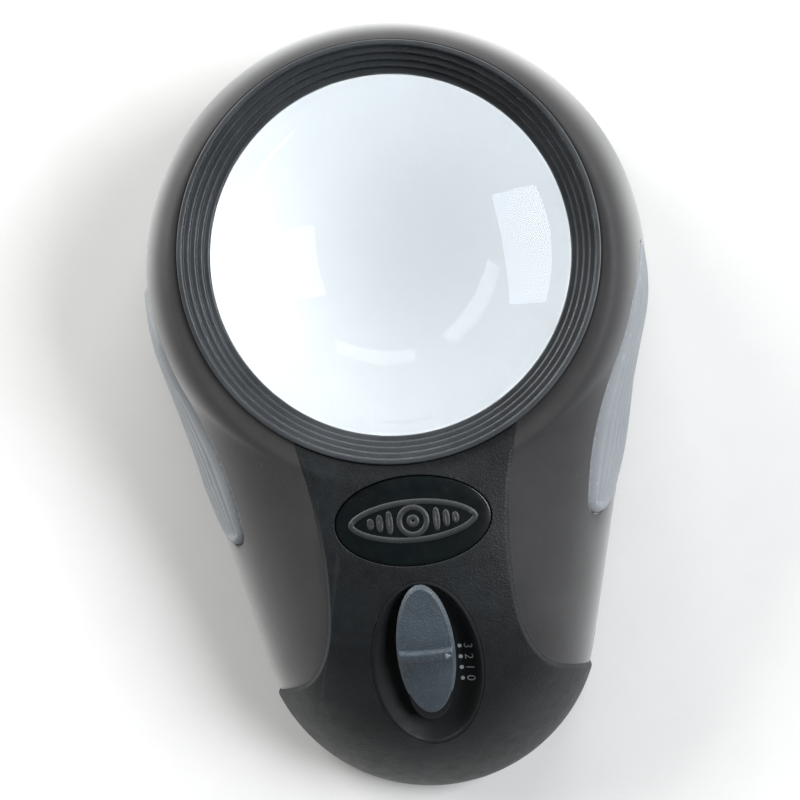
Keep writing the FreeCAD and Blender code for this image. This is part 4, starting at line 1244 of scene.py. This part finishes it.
def make_knob():
    along = knob_columns()
    half = KNOB_HALF_WIDTH * (1 - np.abs(along / KNOB_HALF_LENGTH) ** KNOB_POWER) ** (1 / KNOB_POWER)
    across = np.sin(np.linspace(-1, 1, 64) * math.pi / 2)
    x = half[:, None] * across
    u = np.repeat(along[:, None], len(across), axis=1)
    face = knob_top(x, u)
    under = np.repeat(face[:, :1] - 0.42, len(across), axis=1) - 0.12 * np.sqrt(1 - across**2)
    row = np.concatenate([face, under[:, ::-1]], axis=1)
    x = np.concatenate([x, x[:, ::-1] * 0.985], axis=1)
    u = np.concatenate([u, u], axis=1)
    cap = grid_object("cap", switch_points(x, u + KNOB_CENTRE, row), (KNOB_GREY,))
    rows = []
    for shrink, low in SKIRT:
        x = (KNOB_HALF_WIDTH - shrink) * np.cos(TURN)
        along = KNOB_CENTRE + (KNOB_HALF_LENGTH - 2.5 - shrink) * np.sin(TURN)
        rows.append(switch_points(x, along, low))
    skirt = grid_object("skirt", np.array(rows), (KNOB_GREY,))
    show(join_objects("knob_cap", [cap, skirt]), "knob", "knob_grey", "slide_knob", sharp=45)
    make_arrow()


def make_arrow():
    """The raised mark on the bar that points at the figures."""
    centre = ARROW.mean(axis=0)
    rows = []
    for grow, up in ((0.0, 0.0), (0.0, 0.1), (-0.09, 0.14)):
        loop = rounded(centre + (ARROW - centre) * (1 + grow / 0.6), 0.2, 4)
        height = knob_top(loop[:, 0], loop[:, 1] + BAR_PLACE)
        along = loop[:, 1] + BAR_PLACE + KNOB_CENTRE
        rows.append(switch_points(loop[:, 0], along, height - 0.02 + up))
    show(grid_object("knob_arrow", np.array(rows), (ARROW_GREY,)), "knob", "knob_grey")


def text_outline(character, size):
    """A character as flat points and faces in millimetres, centred."""
    curve = bpy.data.curves.new("character", "FONT")
    curve.body = character
    curve.size = size
    curve.align_x = "CENTER"
    curve.align_y = "CENTER"
    curve.resolution_u = 6
    thing = placed("character", curve)
    mesh = thing.evaluated_get(bpy.context.evaluated_depsgraph_get()).to_mesh()
    points = np.array([tuple(vertex.co) for vertex in mesh.vertices])[:, :2]
    faces = [tuple(polygon.vertices) for polygon in mesh.polygons]
    thing.to_mesh_clear()
    bpy.data.objects.remove(thing)
    points -= (points.min(0) + points.max(0)) / 2
    return points, faces


def printed(name, points, faces, x, y):
    """Flat print laid on the bowl: its top points to +X and it reads toward the tail."""
    across = x + points[:, 1]
    off = np.full(len(points), DISH_FLOOR)
    for _ in range(8):
        along = (y - points[:, 0] - SWITCH_ORIGIN[1] - off * STANDOFF[1]) / SLOPE[1]
        off = dish_off(across, along)
    laid = switch_points(across, along, off + 0.04)
    return mesh_object(name, laid, faces, (PRINT,))


FIRST_MARK_Y = -45.4
MARK_PITCH = 2.13
FIGURE_X = 7.75
FIGURE_SIZE = 2.3
DOT_X = 6.15
DOT_RADIUS = 0.4


def make_legend():
    marks, dots = [], []
    turn = np.linspace(0, 2 * math.pi, 20, endpoint=False)
    disc = np.stack([np.cos(turn), np.sin(turn)], -1) * DOT_RADIUS
    for i, character in enumerate("3210"):
        y = FIRST_MARK_Y - MARK_PITCH * i
        points, faces = text_outline(character, FIGURE_SIZE)
        marks.append(printed("mark", points, faces, FIGURE_X, y))
        dots.append(printed("dot", disc, [tuple(range(len(disc)))], DOT_X, y))
    show(join_objects("legend_digits", marks), "casing", "gloss_black")
    show(join_objects("legend_dots", dots), "casing", "gloss_black")


# ---------------------------------------------------------------- underside
THUMB_GROOVES = 4
THUMB_GROOVE_START = 65.5
THUMB_GROOVE_PITCH = 2


def make_door():
    high = extent("battery_door")[1]
    half, front = 24.0, high[1]
    middle = np.linspace(-half + 0.7, half - 0.7, 90)
    across = np.concatenate([[-half, -half + 0.08, -half + 0.3], middle, [half - 0.3, half - 0.08, half]])
    plain, grooved = np.linspace(0.02, 0.8, 60), np.linspace(0.801, 0.99, 110)
    share = np.concatenate([[0, 0.002, 0.006, 0.012], plain, grooved, [0.995, 1.0]])
    edge_y = TAIL_Y - np.sqrt(TAIL_RADIUS**2 - across**2)
    x = np.repeat(across[:, None], len(share), axis=1)
    y = front + (edge_y[:, None] + 0.7 - front) * share
    edge = np.minimum(half - np.abs(x), front - y)
    z = BASE_Z + 0.35 * (1 - np.clip(edge / 0.5, 0, 1)) ** 2
    for i in range(THUMB_GROOVES):
        groove = np.abs(y + THUMB_GROOVE_START - THUMB_GROOVE_PITCH * i) / 0.75
        inside = 1 - smoothstep(6.4, 7.1, np.abs(x))
        z = z + 0.55 * np.cos(np.clip(groove, 0, 1) * math.pi / 2) * inside
    back = np.stack([x, y, np.full_like(x, high[2] - 0.02)], -1)
    grid = np.concatenate([np.stack([x, y, z], -1), back[:, ::-1]], axis=1)
    panel = grid_object("door_panel", grid, (BASE_BLACK,))
    show(panel, "door", "base_black", "battery_door", sharp=45)


# radius, and height above the base
SCREW_PROFILE = (
    (0.01, 0.12), (1.2, 0.12), (1.7, 0.3), (1.9, 0.6), (1.9, 1.18),
    (0.9, 1.2), (0.9, 8.6), (0.5, 9.0), (0.01, 9.0),
)
BLADE = (1.15, 0.22)


def make_fixings():
    screws = []
    head = [(radius, BASE_Z + up) for radius, up in SCREW_PROFILE]
    for x, y in clusters("housing_screws"):
        screw = turned("screw", head, (STEEL,), (x, y), 48)
        for turn in (0, math.pi / 2):
            corners = (-BLADE[0], -BLADE[1], -1), (BLADE[0], BLADE[1], BASE_Z + 0.8)
            blade = rounded_box("blade", *corners, 0.05, (STEEL,), 1)
            move = Matrix.Translation(Vector((x, y, 0)) * MM)
            blade.data.transform(move @ Matrix.Rotation(turn + 0.35 * x, 4, "Z"))
            carve(screw, blade)
        screws.append(screw)
    show(join_objects("case_screws", screws), "casing", "screw_steel", "housing_screws")
    top_z = BASE_Z + 0.58
    profile = [(0.01, 0.0), (2.3, 0.0), (2.75, 0.08), (2.95, 0.35), (3.0, 0.8), (3.0, top_z), (0.01, top_z)]
    pads = [turned("pad", profile, (FELT,), place, 64) for place in clusters("glide_pads")]
    show(join_objects("glide_feet", pads), "casing", "pad_felt", "glide_pads")


def make_grips():
    for side, node in ((1, "right_grip"), (-1, "left_grip")):
        pad = grid_object(node + "_pad", grip_grid(side), (GRIP_GREY,))
        show(pad, "casing", "grip_rubber", node, sharp=50)


def dress_internals():
    """Materials for the CAD nodes that keep their own shape."""
    kept = {
        "lens_gasket": SEAL,
        "led_ring_board": BOARD_WHITE,
        "control_board": BOARD_GREEN,
        "board_resistors": CHIP,
        "board_screws": STEEL,
        "switch_frame": SHEET_METAL,
        "switch_contacts": CONTACT,
        "contact_wiper": CONTACT,
        "switch_slider": SLIDER,
        "battery_holder": BASE_BLACK,
        "battery_1": CELL,
        "battery_2": CELL,
        "battery_3": CELL,
        "positive_contacts": CONTACT,
        "negative_contacts": CONTACT,
        "battery_wires": WIRE,
        "led_wires": WIRE,
    }
    for node, material in kept.items():
        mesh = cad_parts[node].data
        mesh.materials.clear()
        mesh.materials.append(material)


# ---------------------------------------------------------------- stage
def soft_light(name, position, target, size, power, colour):
    light = bpy.data.lights.new(name, "AREA")
    light.shape = "RECTANGLE"
    light.size, light.size_y = size
    light.energy = power
    light.color = colour
    lamp = placed(name, light)
    lamp.location = position
    aim = Vector(target) - Vector(position)
    lamp.rotation_euler = aim.to_track_quat("-Z", "Y").to_euler()


def make_stage():
    paper = finish_material("pale_floor", (0.74, 0.74, 0.73), 0.75, (1500, 0.02), 0.2, 0.012, 0.04)
    mesh = bpy.data.meshes.new("floor")
    mesh.from_pydata([(-3, -3, 0), (3, -3, 0), (3, 3, 0), (-3, 3, 0)], [], [(0, 1, 2, 3)])
    mesh.materials.append(paper)
    placed("floor", mesh)

    world = bpy.data.worlds.new("studio")
    world.use_nodes = True
    sky = world.node_tree.nodes["Background"]
    sky.inputs["Color"].default_value = (0.9, 0.94, 1.0, 1)
    sky.inputs["Strength"].default_value = 0.1
    bpy.context.scene.world = world
    middle = (0, 0.01, 0.02)
    soft_light("key_left", (-1.1, 0.85, 0.66), middle, (1.2, 0.6), 29, (1.0, 0.99, 0.97))
    soft_light("fill_right", (0.95, 0.1, 0.9), middle, (0.8, 0.6), 21, (0.96, 0.98, 1.0))
    soft_light("back_top", (0.25, 1.3, 0.6), middle, (1.0, 0.5), 14, (1.0, 1.0, 1.0))
    bpy.context.scene.view_settings.view_transform = "Standard"


def make_camera():
    """Over the magnifier and a little to its right, turned a little clockwise."""
    camera = bpy.data.cameras.new("camera")
    camera.lens = 89.75
    camera.sensor_width = 36
    camera.clip_start = 0.01
    viewer = placed("camera", camera)
    place, target = Vector((0.016, -0.0005, 0.4)), Vector((-0.0011, 0.0011, 0.02))
    back = (place - target).normalized()
    right = Vector((0.092, 0.996, 0)).cross(back).normalized()
    turn = Matrix((right, back.cross(right), back)).transposed()
    viewer.matrix_world = Matrix.Translation(place) @ turn.to_4x4()
    bpy.context.scene.camera = viewer


make_shells()
make_grips()
make_bezel()
make_lens()
make_shroud()
make_leds()
make_badge()
make_dish()
make_knob()
make_legend()
make_door()
make_fixings()
dress_internals()
make_stage()
make_camera()
